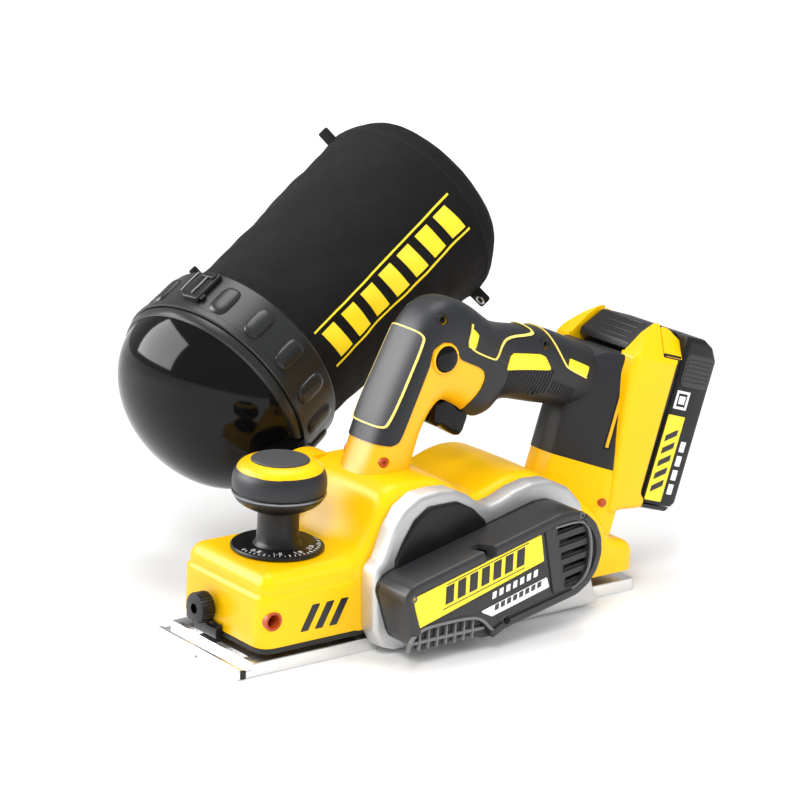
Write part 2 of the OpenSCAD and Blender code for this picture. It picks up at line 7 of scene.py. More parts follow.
import bpy
import numpy as np
from mathutils import Matrix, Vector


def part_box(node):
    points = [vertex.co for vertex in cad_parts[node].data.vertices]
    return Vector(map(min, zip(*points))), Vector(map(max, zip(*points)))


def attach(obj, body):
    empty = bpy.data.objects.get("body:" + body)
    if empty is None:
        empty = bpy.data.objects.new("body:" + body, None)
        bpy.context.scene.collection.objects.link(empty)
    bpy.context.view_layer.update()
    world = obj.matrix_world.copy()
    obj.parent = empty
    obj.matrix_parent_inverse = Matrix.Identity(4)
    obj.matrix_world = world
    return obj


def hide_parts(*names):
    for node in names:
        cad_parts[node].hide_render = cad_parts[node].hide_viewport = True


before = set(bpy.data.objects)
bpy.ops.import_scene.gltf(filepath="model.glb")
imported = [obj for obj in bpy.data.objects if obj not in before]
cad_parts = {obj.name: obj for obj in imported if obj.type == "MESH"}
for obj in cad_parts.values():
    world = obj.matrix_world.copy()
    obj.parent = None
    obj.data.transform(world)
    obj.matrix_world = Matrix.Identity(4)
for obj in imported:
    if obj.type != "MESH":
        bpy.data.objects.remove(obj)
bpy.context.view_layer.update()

MM = 0.001
PI = math.pi


def low(node):
    """The node's smallest X, Y and Z in millimetres: its box in metres over 0.001."""
    return np.array(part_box(node)[0]) / MM


def high(node):
    """The node's largest X, Y and Z in millimetres: its box in metres over 0.001."""
    return np.array(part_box(node)[1]) / MM


# ---------------------------------------------------------------- places taken from the frame
HALF = high("front_shoe")[1]              # half width of the shoes
NOSE_X, TAIL_X = low("main_housing")[0], high("main_housing")[0]
FLANGE_Y = low("base_casting")[1]         # outer face of the casting's flange
COVER_BACK, COVER_Y = high("belt_cover")[1], low("belt_cover")[1]
KNOB_X = (low("depth_dial")[0] + high("depth_dial")[0]) / 2
DECK_Z = low("depth_dial")[2] - 0.3
LOCK = (low("lock_button") + high("lock_button")) / 2
SHOE_T = 8.4                              # thickness of the shoes
PACK_TILT = math.radians(16.8)            # lean of the pack and its dock
BAG_RISE, BAG_YAW = math.radians(28.9), math.radians(12.7)
BAG_FROM = np.array([-122.3, 125.0, 111.5])   # middle of the collar's front rim


# ---------------------------------------------------------------- shader maths
class Val:
    """A socket in a material; arithmetic on it adds Math nodes."""

    def __init__(self, mat, out):
        self.mat, self.out = mat, out

    def _math(self, operation, *inputs):
        return self.mat.node("ShaderNodeMath", {"operation": operation}, *inputs)

    def __add__(self, b): return self._math("ADD", self, b)
    def __radd__(self, b): return self._math("ADD", b, self)
    def __sub__(self, b): return self._math("SUBTRACT", self, b)
    def __rsub__(self, b): return self._math("SUBTRACT", b, self)
    def __mul__(self, b): return self._math("MULTIPLY", self, b)
    def __rmul__(self, b): return self._math("MULTIPLY", b, self)
    def __truediv__(self, b): return self._math("DIVIDE", self, b)
    def __gt__(self, b): return self._math("GREATER_THAN", self, b)
    def __lt__(self, b): return self._math("LESS_THAN", self, b)
    def sin(self): return self._math("SINE", self)
    def abs(self): return self._math("ABSOLUTE", self)
    def fract(self): return self._math("FRACT", self)
    def clamp(self): return self._math("MAXIMUM", self._math("MINIMUM", self, 1.0), 0.0)


class Finish:
    """A material round one Principled shader, with short ways to add nodes."""

    def __init__(self, name, colour, rough, metal=0.0, **fixed):
        self.mat = bpy.data.materials.new(name)
        self.mat.use_nodes = True
        self.tree = self.mat.node_tree
        self.shader = self.tree.nodes["Principled BSDF"]
        self.shader.inputs["Base Color"].default_value = (*colour, 1)
        self.shader.inputs["Roughness"].default_value = rough
        self.shader.inputs["Metallic"].default_value = metal
        for socket, value in fixed.items():
            self.shader.inputs[socket.replace("_", " ")].default_value = value
        self.colour, self.rough = colour, rough

    def node(self, kind, settings=None, *inputs, out=0, **named):
        n = self.tree.nodes.new(kind)
        for key, value in (settings or {}).items():
            if key == "stops":
                ramp = n.color_ramp
                while len(ramp.elements) < len(value):
                    ramp.elements.new(0.5)
                for element, (at, c) in zip(ramp.elements, value):
                    element.position, element.color = at, (*c, 1)
            else:
                setattr(n, key, value)
        pairs = list(enumerate(inputs)) + [(k.replace("_", " "), v) for k, v in named.items()]
        for key, value in pairs:
            if isinstance(value, Val):
                self.tree.links.new(value.out, n.inputs[key])
            elif value is not None:
                n.inputs[key].default_value = value
        return Val(self, n.outputs[out])

    def place(self):
        return self.node("ShaderNodeTexCoord", out="Object")

    def uv(self):
        return self.node("ShaderNodeTexCoord", out="UV")

    def axes(self, at=None):
        split = self.node("ShaderNodeSeparateXYZ", None, at or self.place())
        return [Val(self, split.out.node.outputs[i]) for i in range(3)]

    def noise(self, size_mm, detail=3.0, at=None, stretch=(1, 1, 1)):
        mapped = self.node("ShaderNodeMapping", None, at or self.place(), Scale=stretch)
        return self.node("ShaderNodeTexNoise", None, mapped, Scale=1 / (size_mm * MM), Detail=detail)

    def mix(self, factor, a, b):
        n = self.tree.nodes.new("ShaderNodeMix")
        n.data_type = "RGBA"
        for i, value in ((0, factor), (6, a), (7, b)):
            if isinstance(value, Val):
                self.tree.links.new(value.out, n.inputs[i])
            else:
                n.inputs[i].default_value = value if i == 0 else (*value, 1)
        return Val(self, n.outputs[2])

    def put(self, socket, value):
        self.tree.links.new(value.out, self.shader.inputs[socket])
        return self

    def bump(self, height, depth_mm, strength=1.0):
        bump = self.node("ShaderNodeBump", None, Height=height, Distance=depth_mm * MM,
                         Strength=strength)
        return self.put("Normal", bump)


def shade(c, k):
    """A colour times k, each channel held to 1 at most."""
    return tuple(min(1.0, v * k) for v in c)


def moulded(name, colour, rough, grain=0.35, depth=0.03, patchy=0.10, **fixed):
    """Moulded plastic: a fine pebble in the normal, faint handling marks in roughness and tint."""
    f = Finish(name, colour, rough, **fixed)
    broad, fine = f.noise(38, 4), f.noise(grain, 2)
    f.put("Base Color", f.mix(broad, shade(colour, 1 - patchy), shade(colour, 1 + patchy * 0.6)))
    scuff = f.noise(2.6, 5, stretch=(1, 1, 6))
    f.put("Roughness", (rough - 0.07) + broad * 0.06 + scuff * 0.08)
    return f.bump(fine, depth)


def metal(name, colour, rough, brush=(1, 1, 1), size=0.6, depth=0.02, tone=0.08):
    """Machined or cast metal: grain stretched along the tool path."""
    f = Finish(name, colour, rough, 1.0)
    grain, cloud = f.noise(size, 4, stretch=brush), f.noise(16, 3)
    f.put("Base Color", f.mix(cloud, shade(colour, 1 - tone), shade(colour, 1 + tone)))
    f.put("Roughness", (rough - 0.08) + grain * 0.16)
    return f.bump(grain, depth)


YELLOW, AMBER = (0.93, 0.53, 0.0), (0.90, 0.45, 0.002)
body_yellow = moulded("body_yellow", YELLOW, 0.34, 0.5, 0.02, 0.05, Coat_Roughness=0.25,
                      Specular_IOR_Level=0.3)
handle_yellow = moulded("handle_yellow", AMBER, 0.36, 0.5, 0.02, 0.05)
soft_dark = moulded("soft_cover", (0.016, 0.017, 0.020), 0.44, 0.45, 0.05, Specular_IOR_Level=0.4)
soft_grey = moulded("pad_grey", (0.042, 0.043, 0.046), 0.52, 0.4, 0.05)
cover_grey = moulded("cover_grey", (0.028, 0.028, 0.030), 0.38, 0.6, 0.05, Specular_IOR_Level=0.4)
plain_black = moulded("black_plastic", (0.006, 0.006, 0.007), 0.36, 0.5, 0.03, Specular_IOR_Level=0.35)
gloss_black = moulded("gloss_black", (0.003, 0.003, 0.0035), 0.08, 2.0, 0.004, 0.05, Specular_IOR_Level=0.2)
collar_black = moulded("collar_black", (0.013, 0.014, 0.015), 0.30, 0.5, 0.03)
grip_grey = moulded("grip_grey", (0.035, 0.035, 0.038), 0.5, 0.4, 0.05)
window_grey = moulded("window_grey", (0.16, 0.16, 0.165), 0.45, 0.5, 0.04)
screw_black = moulded("screw_black", (0.004, 0.004, 0.004), 0.45, 0.5, 0.02)
piping_gold = moulded("piping", (0.95, 0.72, 0.16), 0.45, 0.5, 0.01, 0.04)
label_yellow = moulded("label_yellow", (0.95, 0.72, 0.02), 0.3, 3, 0.004, 0.03)
label_black = moulded("label_black", (0.01, 0.01, 0.01), 0.3, 3, 0.004, 0.03)
label_white = moulded("label_white", (0.85, 0.85, 0.85), 0.35, 3, 0.004, 0.03)
red_plug = moulded("red_plug", (0.42, 0.06, 0.008), 0.4, 0.5, 0.02)
cast_alloy = metal("cast_alloy", (0.74, 0.745, 0.75), 0.62, (1, 1, 1), 1.1, 0.08, 0.04)
milled_alloy = metal("milled_alloy", (0.83, 0.83, 0.83), 0.30, (0.12, 2, 1), 0.8, 0.02, 0.04)
bright_band = metal("bright_band", (0.22, 0.22, 0.23), 0.24, (1, 1, 8), 0.7, 0.01)
dark_steel = metal("dark_steel", (0.16, 0.16, 0.17), 0.38)
steel = metal("steel", (0.62, 0.62, 0.62), 0.28)
copper = metal("copper", (0.72, 0.33, 0.14), 0.35, (1, 8, 1))
brass = metal("brass", (0.72, 0.55, 0.25), 0.4)
board_green = moulded("board_green", (0.02, 0.16, 0.06), 0.4)
cell_blue = moulded("cell_sleeve", (0.07, 0.2, 0.42), 0.3)
belt_black = moulded("belt_black", (0.015, 0.015, 0.015), 0.7, 0.8, 0.1)


# ---------------------------------------------------------------- mesh making
def add(name, verts, faces, finish, body, slot=None, nodes=(), crease=32):
    """Puts points and faces into a piece that rides on a body, faces outwards, smooth below the crease angle."""
    me = bpy.data.meshes.new(name)
    me.from_pydata((np.asarray(verts, float) * MM).tolist(), [], [list(map(int, f)) for f in faces])
    me.validate()
    ob = bpy.data.objects.new(name, me)
    bpy.context.scene.collection.objects.link(ob)
    if volume(me) < 0:
        me.flip_normals()
    return dress(ob, finish, body, nodes, crease)


def dress(ob, finish, body, nodes=(), crease=32):
    """Gives a piece its finish, its body and the CAD nodes that it stands for."""
    me = ob.data
    me.materials.clear()
    me.materials.append(finish.mat)
    me.polygons.foreach_set("use_smooth", np.ones(len(me.polygons), bool))
    me.set_sharp_from_angle(angle=math.radians(crease))
    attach(ob, body)
    if nodes:
        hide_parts(*nodes)
    return ob


def volume(me):
    """Signed volume: the sum over loop triangles of a . (b x c) / 6."""
    me.calc_loop_triangles()
    tri = np.zeros(len(me.loop_triangles) * 3, np.int32)
    me.loop_triangles.foreach_get("vertices", tri)
    co = np.zeros(len(me.vertices) * 3)
    me.vertices.foreach_get("co", co)
    p = co.reshape(-1, 3)[tri.reshape(-1, 3)]
    return float(np.einsum("ij,ij->i", p[:, 0], np.cross(p[:, 1], p[:, 2])).sum())


def outward(points, quads, ends=()):
    """Turns all faces over if the volume they enclose, the sum of a . (b x c) / 6 over fan triangles, is
    negative."""
    q = (points - points.mean(0))[quads]
    total = sum(np.einsum("ij,ij->", q[:, 0], np.cross(q[:, k], q[:, k + 1])) for k in (1, 2))
    for end in ends:
        p = (points - points.mean(0))[end]
        total += (np.cross(p[1:-1], p[2:]) @ p[0]).sum()
    faces = quads.tolist() + [list(e) for e in ends]
    return points, [f[::-1] for f in faces] if total < 0 else faces


def loft(rings):
    """Quads between closed rings of points, shape (rings, points, 3), with a face over each end."""
    r, n = rings.shape[:2]
    i, j = np.meshgrid(np.arange(r - 1), np.arange(n), indexing="ij")
    a, b = i * n + j, i * n + (j + 1) % n
    quads = np.stack([a, b, b + n, a + n], -1).reshape(-1, 4)
    return outward(rings.reshape(-1, 3), quads, [np.arange(n)[::-1], np.arange((r - 1) * n, r * n)])


def torus(rings):
    """Quads between closed rings that also join from the last ring to the first."""
    r, n = rings.shape[:2]
    i, j = np.meshgrid(np.arange(r), np.arange(n), indexing="ij")
    a, b = i * n + j, i * n + (j + 1) % n
    c, d = ((i + 1) % r) * n + (j + 1) % n, ((i + 1) % r) * n + j
    return outward(rings.reshape(-1, 3), np.stack([a, b, c, d], -1).reshape(-1, 4))


def join(*parts):
    """One list of points and faces from several."""
    verts, faces, base = [], [], 0
    for v, f in parts:
        verts.append(np.asarray(v, float))
        faces += [[int(k) + base for k in face] for face in f]
        base += len(v)
    return np.concatenate(verts), faces


def rounded(points, radius, inset=0.0, n=6):
    """A closed outline moved inwards by inset, each corner a curve that starts radius * tan(turn / 2) from
    it."""
    p = np.asarray(points, float)
    area = np.sum(p[:, 0] * np.roll(p[:, 1], -1) - np.roll(p[:, 0], -1) * p[:, 1])
    if area < 0:
        p = p[::-1]
    radius = np.broadcast_to(np.asarray(radius, float), (len(p),))
    radius = radius if area > 0 else radius[::-1]
    e = np.roll(p, -1, 0) - p
    length = np.linalg.norm(e, axis=1)
    e = e / length[:, None]
    inward = np.stack([-e[:, 1], e[:, 0]], 1)
    e0, n0 = np.roll(e, 1, 0), np.roll(inward, 1, 0)
    cosine = np.clip((e0 * e).sum(1), -0.999, 1)
    turn = np.sign(e0[:, 0] * e[:, 1] - e0[:, 1] * e[:, 0])
    half = np.sqrt((1 - cosine) / (1 + cosine))
    shift = (n0 + inward) / (1 + (n0 * inward).sum(1))[:, None]
    v = p + inset * shift
    reach = np.minimum(radius * half, 0.48 * np.minimum(length, np.roll(length, 1)))
    reach = np.maximum(reach - turn * inset * half, 0.02)
    s = np.linspace(0, 1, n)[None, :, None]
    a, b = (v - e0 * reach[:, None])[:, None], (v + e * reach[:, None])[:, None]
    return ((1 - s) ** 2 * a + 2 * s * (1 - s) * v[:, None] + s ** 2 * b).reshape(-1, 2)


def fillet(size, depth, n=5):
    """Pairs (inset, drop) round a quarter ellipse, from the side wall to the flat face."""
    t = np.linspace(0, PI / 2, n)
    return [(size * (1 - math.cos(a)), depth * (1 - math.sin(a))) for a in t]


def on_y(loop, y):
    """An X, Z outline placed at Y = y."""
    return np.stack([loop[:, 0], np.full(len(loop), y), loop[:, 1]], 1)


def on_z(loop, z):
    """An X, Y outline placed at Z = z."""
    return np.stack([loop[:, 0], loop[:, 1], np.full(len(loop), z)], 1)


def slab(points, radius, y0, y1, edge=2.0, n=6, back=None):
    """A side outline carried from Y = y0 to Y = y1, its edges rounded by insets round a quarter circle."""
    back = edge if back is None else back
    rings = [on_y(rounded(points, radius, i, n), y0 + d) for i, d in reversed(fillet(edge, edge))]
    rings += [on_y(rounded(points, radius, i, n), y1 - d) for i, d in fillet(back, back)]
    return loft(np.array(rings))


def block(x, y, z, edge=1.0, corner=None):
    """A box from its X, Y and Z limits with rounded corners in plan and rounded top and bottom edges."""
    plan = [(x[0], y[0]), (x[1], y[0]), (x[1], y[1]), (x[0], y[1])]
    corner = edge * 1.5 if corner is None else corner
    rings = [on_z(rounded(plan, corner, i), z[0] + d) for i, d in reversed(fillet(edge, edge))]
    rings += [on_z(rounded(plan, corner, i), z[1] - d) for i, d in fillet(edge, edge)]
    return loft(np.array(rings))


def lathe(profile, n=96, wave=None):
    """Points (radius, height) turned round Z; wave(angle, k) may scale the radius of each profile point."""
    p = np.asarray(profile, float)
    a = np.linspace(0, 2 * PI, n, endpoint=False)[None]
    r = p[:, :1] * (wave(a, p) if wave else np.ones_like(a))
    rings = np.stack([r * np.cos(a), r * np.sin(a), np.broadcast_to(p[:, 1:2], r.shape)], -1)
    return loft(rings)


def sweep(path, radius, n=8, up=(0, 1, 0)):
    """A round section carried along a path: centre + radius (side cos a + top sin a), both square to the
    path."""
    p = np.asarray(path, float)
    t = np.gradient(p, axis=0)
    t /= np.linalg.norm(t, axis=1)[:, None]
    side = np.cross(t, np.asarray(up, float))
    side /= np.linalg.norm(side, axis=1)[:, None]
    top = np.cross(side, t)
    a = np.linspace(0, 2 * PI, n, endpoint=False)
    ring = side[:, None] * np.cos(a)[None, :, None] + top[:, None] * np.sin(a)[None, :, None]
    return loft(p[:, None] + radius * ring)


def prism(points, y0=-60, y1=60, radius=0.0, n=4):
    """A sharp side outline from Y = y0 to Y = y1, used as a cutter."""
    loop = rounded(points, radius, 0, n) if radius else np.asarray(points, float)
    return loft(np.array([on_y(loop, y0), on_y(loop, y1)]))


def rod_y(x, z, r, y0, y1, n=40):
    """A cylinder along Y: the circle (x + r cos a, z + r sin a) carried from y0 to y1."""
    a = np.linspace(0, 2 * PI, n, endpoint=False)
    return prism(np.stack([x + r * np.cos(a), z + r * np.sin(a)], 1), y0, y1)


def ribbon(points, width):
    """Outline of a band of that width along an open line: the line moved to both sides."""
    p = np.asarray(points, float)
    t = np.gradient(p, axis=0)
    t /= np.linalg.norm(t, axis=1)[:, None]
    n = np.stack([-t[:, 1], t[:, 0]], 1) * width / 2
    return np.concatenate([p + n, (p - n)[::-1]])


def smooth_line(points, n=60, passes=2):
    """An open line resampled evenly, its corners cut twice by Chaikin's quarter rule."""
    p = np.asarray(points, float)
    for _ in range(passes):
        a, b = p[:-1] * 0.75 + p[1:] * 0.25, p[:-1] * 0.25 + p[1:] * 0.75
        p = np.concatenate([p[:1], np.stack([a, b], 1).reshape(-1, p.shape[1]), p[-1:]])
    s = np.concatenate([[0], np.cumsum(np.linalg.norm(np.diff(p, axis=0), axis=1))])
    u = np.linspace(0, s[-1], n)
    return np.stack([np.interp(u, s, p[:, k]) for k in range(p.shape[1])], 1)


def raw(name, shape):
    """A bare object from points and faces, for cutting."""
    me = bpy.data.meshes.new(name)
    me.from_pydata((np.asarray(shape[0], float) * MM).tolist(), [], [list(map(int, f)) for f in shape[1]])
    ob = bpy.data.objects.new(name, me)
    bpy.context.scene.collection.objects.link(ob)
    if volume(me) < 0:
        me.flip_normals()
    return ob


def cut(ob, cutters, operation="DIFFERENCE"):
    """Cuts a piece with closed shapes, one after another, and keeps the result as its mesh."""
    for shape in cutters:
        tool = raw("cutter", shape)
        m = ob.modifiers.new("cut", "BOOLEAN")
        m.operation, m.object, m.solver = operation, tool, "EXACT"
        dg = bpy.context.evaluated_depsgraph_get()
        new = bpy.data.meshes.new_from_object(ob.evaluated_get(dg))
        ob.modifiers.remove(m)
        old, ob.data = ob.data, new
        bpy.data.meshes.remove(old)
        bpy.data.objects.remove(tool)
    new.polygons.foreach_set("use_smooth", np.ones(len(new.polygons), bool))
    new.set_sharp_from_angle(angle=math.radians(ob.get("crease", 32)))
    return ob


def solid(name, shape, cutters, finish, body, nodes=(), crease=32, common=None, also=()):
    """A piece from a closed shape, joined with others, kept inside a common shape, then cut by cutters."""
    ob = raw(name, shape)
    ob["crease"] = crease
    if also:
        cut(ob, also, "UNION")
    if common is not None:
        cut(ob, [common], "INTERSECT")
    if cutters:
        cut(ob, cutters)
    return dress(ob, finish, body, nodes, crease)


def in_pack(shape):
    """From the pack's own axes (out of the dock, across, along) to the frame's."""
    v, f = shape
    c, s = math.cos(PACK_TILT), math.sin(PACK_TILT)
    v = np.asarray(v, float)
    return np.stack([v[:, 0] * c + v[:, 2] * s, v[:, 1], -v[:, 0] * s + v[:, 2] * c], 1), f


def in_bag(shape):
    """From the bag's own axes (Z along the bag) to the frame's: tip, turn, then move."""
    v, f = shape
    tip, ct, st = PI / 2 - BAG_RISE, math.cos(BAG_YAW), math.sin(BAG_YAW)
    v = np.asarray(v, float)
    x = v[:, 0] * math.cos(tip) + v[:, 2] * math.sin(tip)
    z = -v[:, 0] * math.sin(tip) + v[:, 2] * math.cos(tip)
    return BAG_FROM + np.stack([x * ct - v[:, 1] * st, x * st + v[:, 1] * ct, z], 1), f


# ---------------------------------------------------------------- main housing
def nose():
    """A rounded plan outline stacked up in Z, with a groove under a softly domed deck."""
    plan = [(NOSE_X, -HALF), (-118, -HALF), (-118, HALF), (NOSE_X, HALF)]
    radii = [11, 2, 2, 11]
    levels = [(1.2, 14.0), (0.3, 14.6), (0, 16), (0, 42.6), (0.3, 43.5), (1.1, 44.2), (1.5, 44.9),
              (1.7, 45.6), (1.7, 46.4)]
    levels += [(1.7 + i, DECK_Z - d) for i, d in fillet(9, 9.5, 8)]
    return loft(np.array([on_z(rounded(plan, radii, i, 10), z) for i, z in levels]))


def tower():
    """Sections across the body, one per station along its top line: flat crowned top, round shoulders, plumb
    sides."""
    top = smooth_line([(-152, 55.5), (-143, 57.2), (-136, 60.5), (-131, 66), (-126.5, 76), (-123, 84),
                       (-119.5, 91), (-113, 95.5), (-104, 96.9), (-90, 97), (-80, 96.4), (-70, 92.5),
                       (-61, 86.5), (-53, 82), (-46, 81.4), (-37, 84.5), (-27, 88), (-14, 89.6),
                       (-2, 87.6), (12, 80), (30, 67.6), (42, 59.5), (49, 52), (53, 42), (60, 35.4),
                       (68, 33.6), (73.5, 31.5), (76.2, 27), (77, 20)], 170)
    x, z = top[:, 0], top[:, 1]
    grow = np.clip((x + 152) / 20, 0, 1)
    ends = np.sqrt(np.clip(1 - np.clip((x - (TAIL_X - 9)) / 9, 0, 1) ** 2, 0, 1))
    w = (HALF - 9) + (9 - 0.05) * grow * grow * (3 - 2 * grow) - 5 * (1 - ends)
    r = np.clip((z - 20) * 0.4, 3, 9)
    a = np.linspace(0, PI / 2, 9)[None]
    y = np.concatenate([np.linspace(0, 1, 5)[None, :-1] * (w - r)[:, None],
                        (w - r)[:, None] + r[:, None] * np.sin(a)], 1)
    crown = 1.0 * (1 - (y / w[:, None]) ** 2) - 1.0
    h = np.concatenate([np.broadcast_to(z[:, None], (len(z), 4)),
                        (z - r)[:, None] + r[:, None] * np.cos(a)], 1) + crown * (z[:, None] > 50)
    y = np.concatenate([y, w[:, None], w[:, None]], 1)
    h = np.concatenate([h, np.full((len(z), 1), 22.0), np.full((len(z), 1), 14.0)], 1)
    both = np.concatenate([np.stack([y, h], -1), np.stack([-y[:, 1:], h[:, 1:]], -1)[:, ::-1]], 1)
    xs = np.broadcast_to(x[:, None, None], (*both.shape[:2], 1))
    return loft(np.concatenate([xs, both], -1))


SCREWS = [(-102, 103), (-63, 183), (17, 158), (9.5, 129)]
drum_space = rod_y(-99, 25, 29, -60, 60)
solid(
    "main_housing_shell", nose(),
    [drum_space, rod_y(-193.5, 30.7, 5.6, -60, -28), rod_y(-113, 70, 22, 28, 60),
     loft(np.array([on_z(rounded([(-196, -36), (70, -36), (70, 36), (-196, 36)], 4), z) for z in (5, 30)]))],
    body_yellow, "planer", ["main_housing"], also=[tower(),
        rod_y(-113, 71, 26, 30, 46.4, 64)])


# ---------------------------------------------------------------- casting and shoes
def casting():
    """The flange beside the belt, as a rounded slab."""
    arch = [(-133.5, 44), (-133, 53), (-128, 57.5), (-124.5, 66), (-121, 76), (-114, 86), (-103, 92.6),
            (-90, 93.6), (-78, 92.6), (-67, 87.6), (-58, 81), (-51, 78.6), (-43, 80.4), (-32, 84.6),
            (-19, 87.4), (-5, 86.6), (9, 80.4), (20, 69), (24.5, 52), (28, 32), (34, 14), (40, 2.5),
            (-116, 2.5), (-126, 6), (-132, 16)]
    return slab(arch, 7, FLANGE_Y, -HALF - 0.3, 3.2, 5, 0.4)


def plate(x0, x1, z1, slope):
    """A shoe plate: a side outline with a sloping end at the throat, its long edges slightly eased."""
    outline = [(x0, 0), (x1, 0), (x1 + min(slope, 0), z1), (x0 + max(slope, 0), z1)]
    return slab(outline, 0.8, -HALF, HALF, 0.8, 4)


base = solid("base_casting_body", casting(),
             [rod_y(-99, 25, 13, -60, -46), rod_y(-99, 25, 8, -60, -40), rod_y(-14, 50, 9, -60, -40)],
             cast_alloy, "planer", ["base_casting"])
add("rear_shoe", *plate(-86, TAIL_X, SHOE_T, 9), milled_alloy, "planer", "cast_alloy", ["base_casting"])
add("bearing_wall", *slab([(-119, 25), (-113, 39), (-99, 45), (-85, 39), (-79, 25), (-46, 8.4), (-46, 4),
                           (-88, 4), (-113, 11)],
    9, HALF + 0.5, HALF + 5.4, 1.2, 6), cast_alloy, "planer", "cast_alloy", ["base_casting"])


def front_plate():
    """The moving shoe: a side outline with a stepped front lip and a raised bar across it."""
    n = low("front_shoe")[0]
    outline = [(n, 0.4), (-112, 0), (-121, SHOE_T), (-207, SHOE_T), (-207.6, 5.2), (-212.6, 5.0),
               (-213, 6.2), (-215.8, 6.2), (n, 5.2)]
    return slab(outline, 0.5, -HALF, HALF, 0.7, 4)


solid("front_shoe_plate", front_plate(),
             [loft(np.array([[(-230, -2.6, -0.2), (-230, 0, 2.6), (-230, 2.6, -0.2)],
                             [(-110, -2.6, -0.2), (-110, 0, 2.6), (-110, 2.6, -0.2)]])),
              prism([(-206.4, SHOE_T + 1), (-206.4, 5.4), (-202.6, 5.4), (-202.6, SHOE_T + 1)], -30, -3),
              prism([(-206.4, SHOE_T + 1), (-206.4, 5.4), (-202.6, 5.4), (-202.6, SHOE_T + 1)], 14, 34)],
             milled_alloy, "shoe", ["front_shoe"])
add("shoe_posts", *join(*[(v + np.array([px, py, 7.5]), f) for (px, py) in ((-146, 27), (-146, -27))
                          for v, f in [lathe([(4, 0), (4, 31), (3.4, 31.6)], 32)]],
                        *[(v + np.array([KNOB_X, 0, 7.5]), f) for v, f in
                          [lathe([(12, 0), (12, 7.7), (11.2, 8.4), (5.1, 8.4), (5.1, 1)], 48)]]),
    milled_alloy, "shoe", "cast_alloy", ["front_shoe"])
# painted shade and painted dark reflection: a thin black sheet on the near end face of the front shoe's bare
# metal lip
add("shoe_end_painted_shade", *slab([(-215.4, 0.6), (-211.6, 0.6), (-211.6, 5.6), (-215.4, 6.0)], 0.8,
                           -HALF - 0.5, -HALF + 1, 0.3), plain_black, "shoe", "cast_alloy", ["front_shoe"])


add("nose_mark", *join(*[slab([(x, 21), (x + 5.4, 21), (x + 13.4, 36), (x + 8, 36)], 0.5, -HALF - 0.25,
                              -HALF + 0.5, 0.15, 3)
                         for x in (-175, -165, -155)]), label_black, "planer", "yellow_plastic",
                         ["main_housing"])


def gasket():
    """A ring under the nose that follows its rounded plan."""
    plan = [(NOSE_X, -HALF), (-128, -HALF), (-128, HALF), (NOSE_X, HALF)]
    z0, z1 = low("housing_gasket")[2], 14.2
    out = [on_z(rounded(plan, [11, 2, 2, 11], i, 10), z) for i, z in ((1.6, z0), (0.7, z0 + 0.5), (0.5, z1))]
    inn = [on_z(rounded(plan, [11, 2, 2, 11], 4.5, 10), z) for z in (z1, z0)]
    return torus(np.array(out + inn))


add("nose_gasket", *gasket(), belt_black, "planer", "belt_rubber", ["housing_gasket"])
add("screw_bracket", *join(slab([(-206.6, 10.8), (-202.0, 10.8), (-202.0, 19), (-206.6, 17)], 1.0, -4, 19,
                                0.8)),
    plain_black, "planer", "black_plastic", ["nose_bracket"])


# ---------------------------------------------------------------- handle
OUTER = [(-119, 82), (-112.5, 97), (-105.5, 116), (-99.6, 131), (-92.8, 145), (-86, 158.5), (-79.8, 171),
         (-74.0, 180.5), (-66, 188), (-56, 191.2), (-45, 189.6), (-35.6, 185), (-27, 179), (-18, 173.2), (-8,
             169.6),
         (4, 167.2), (16, 165), (28, 162), (39, 157.5), (50, 152.4), (64, 146)]
INNER = [(-79, 82), (-77, 97), (-71.5, 115.6), (-67.5, 123), (-64, 127.6), (-60, 130.6), (-56, 131.4),
         (-52.5, 130.4), (-48, 128), (-43.6, 125.2), (-39.6, 122), (-31, 118.2), (-22, 119.6), (-14, 125),
         (-5, 125.2),
         (6, 122.6), (17, 119.8), (29, 117.2), (40, 115.6), (51, 114), (66, 112)]


HANDLE_HALF = 19.0                        # half width of the handle before its waist is taken off


def handle(skin=0.0):
    """Rings from the underside to the top line: |x/a|^p + |y/b|^p = 1 with p from 2.5 to 3.25, moved out by
    skin."""

    def follow(points):
        """A cubic through the points: Hermite weights on each point and its slope, the mean of its
        neighbours' steps."""
        p = np.asarray(points, float)
        u = np.linspace(0, len(p) - 1, 170)
        i = np.clip(np.floor(u).astype(int), 0, len(p) - 2)
        f = (u - i)[:, None]
        m = np.gradient(p, axis=0)
        return ((2 * f ** 3 - 3 * f ** 2 + 1) * p[i] + (f ** 3 - 2 * f ** 2 + f) * m[i]
                + (3 * f ** 2 - 2 * f ** 3) * p[i + 1] + (f ** 3 - f ** 2) * m[i + 1])

    o, q = follow(OUTER), follow(INNER)
    mid, span = (o + q) / 2, (o - q) / 2
    size = np.linalg.norm(span, axis=1)
    way = span / size[:, None]
    size = size + skin
    s = np.linspace(0, 1, len(o))
    grip = np.clip((s - 0.60) / 0.12, 0, 1)
    knuckle = np.exp(-((s - 0.44) / 0.12) ** 2)
    power = 2.75 + 0.5 * knuckle - 0.25 * grip
    w = HANDLE_HALF + skin - 2.6 * np.exp(-((s - 0.72) / 0.09) ** 2) - 0.4 * grip
    a = np.linspace(0, 2 * PI, 72, endpoint=False)
    c, d = np.cos(a)[None], np.sin(a)[None]
    e = (2 / power)[:, None]
    along = np.sign(c) * np.abs(c) ** e * size[:, None]
    across = np.sign(d) * np.abs(d) ** e * w[:, None]
    xz = mid[:, None] + way[:, None] * along[..., None]
    return loft(np.stack([xz[..., 0], across, xz[..., 1]], -1))


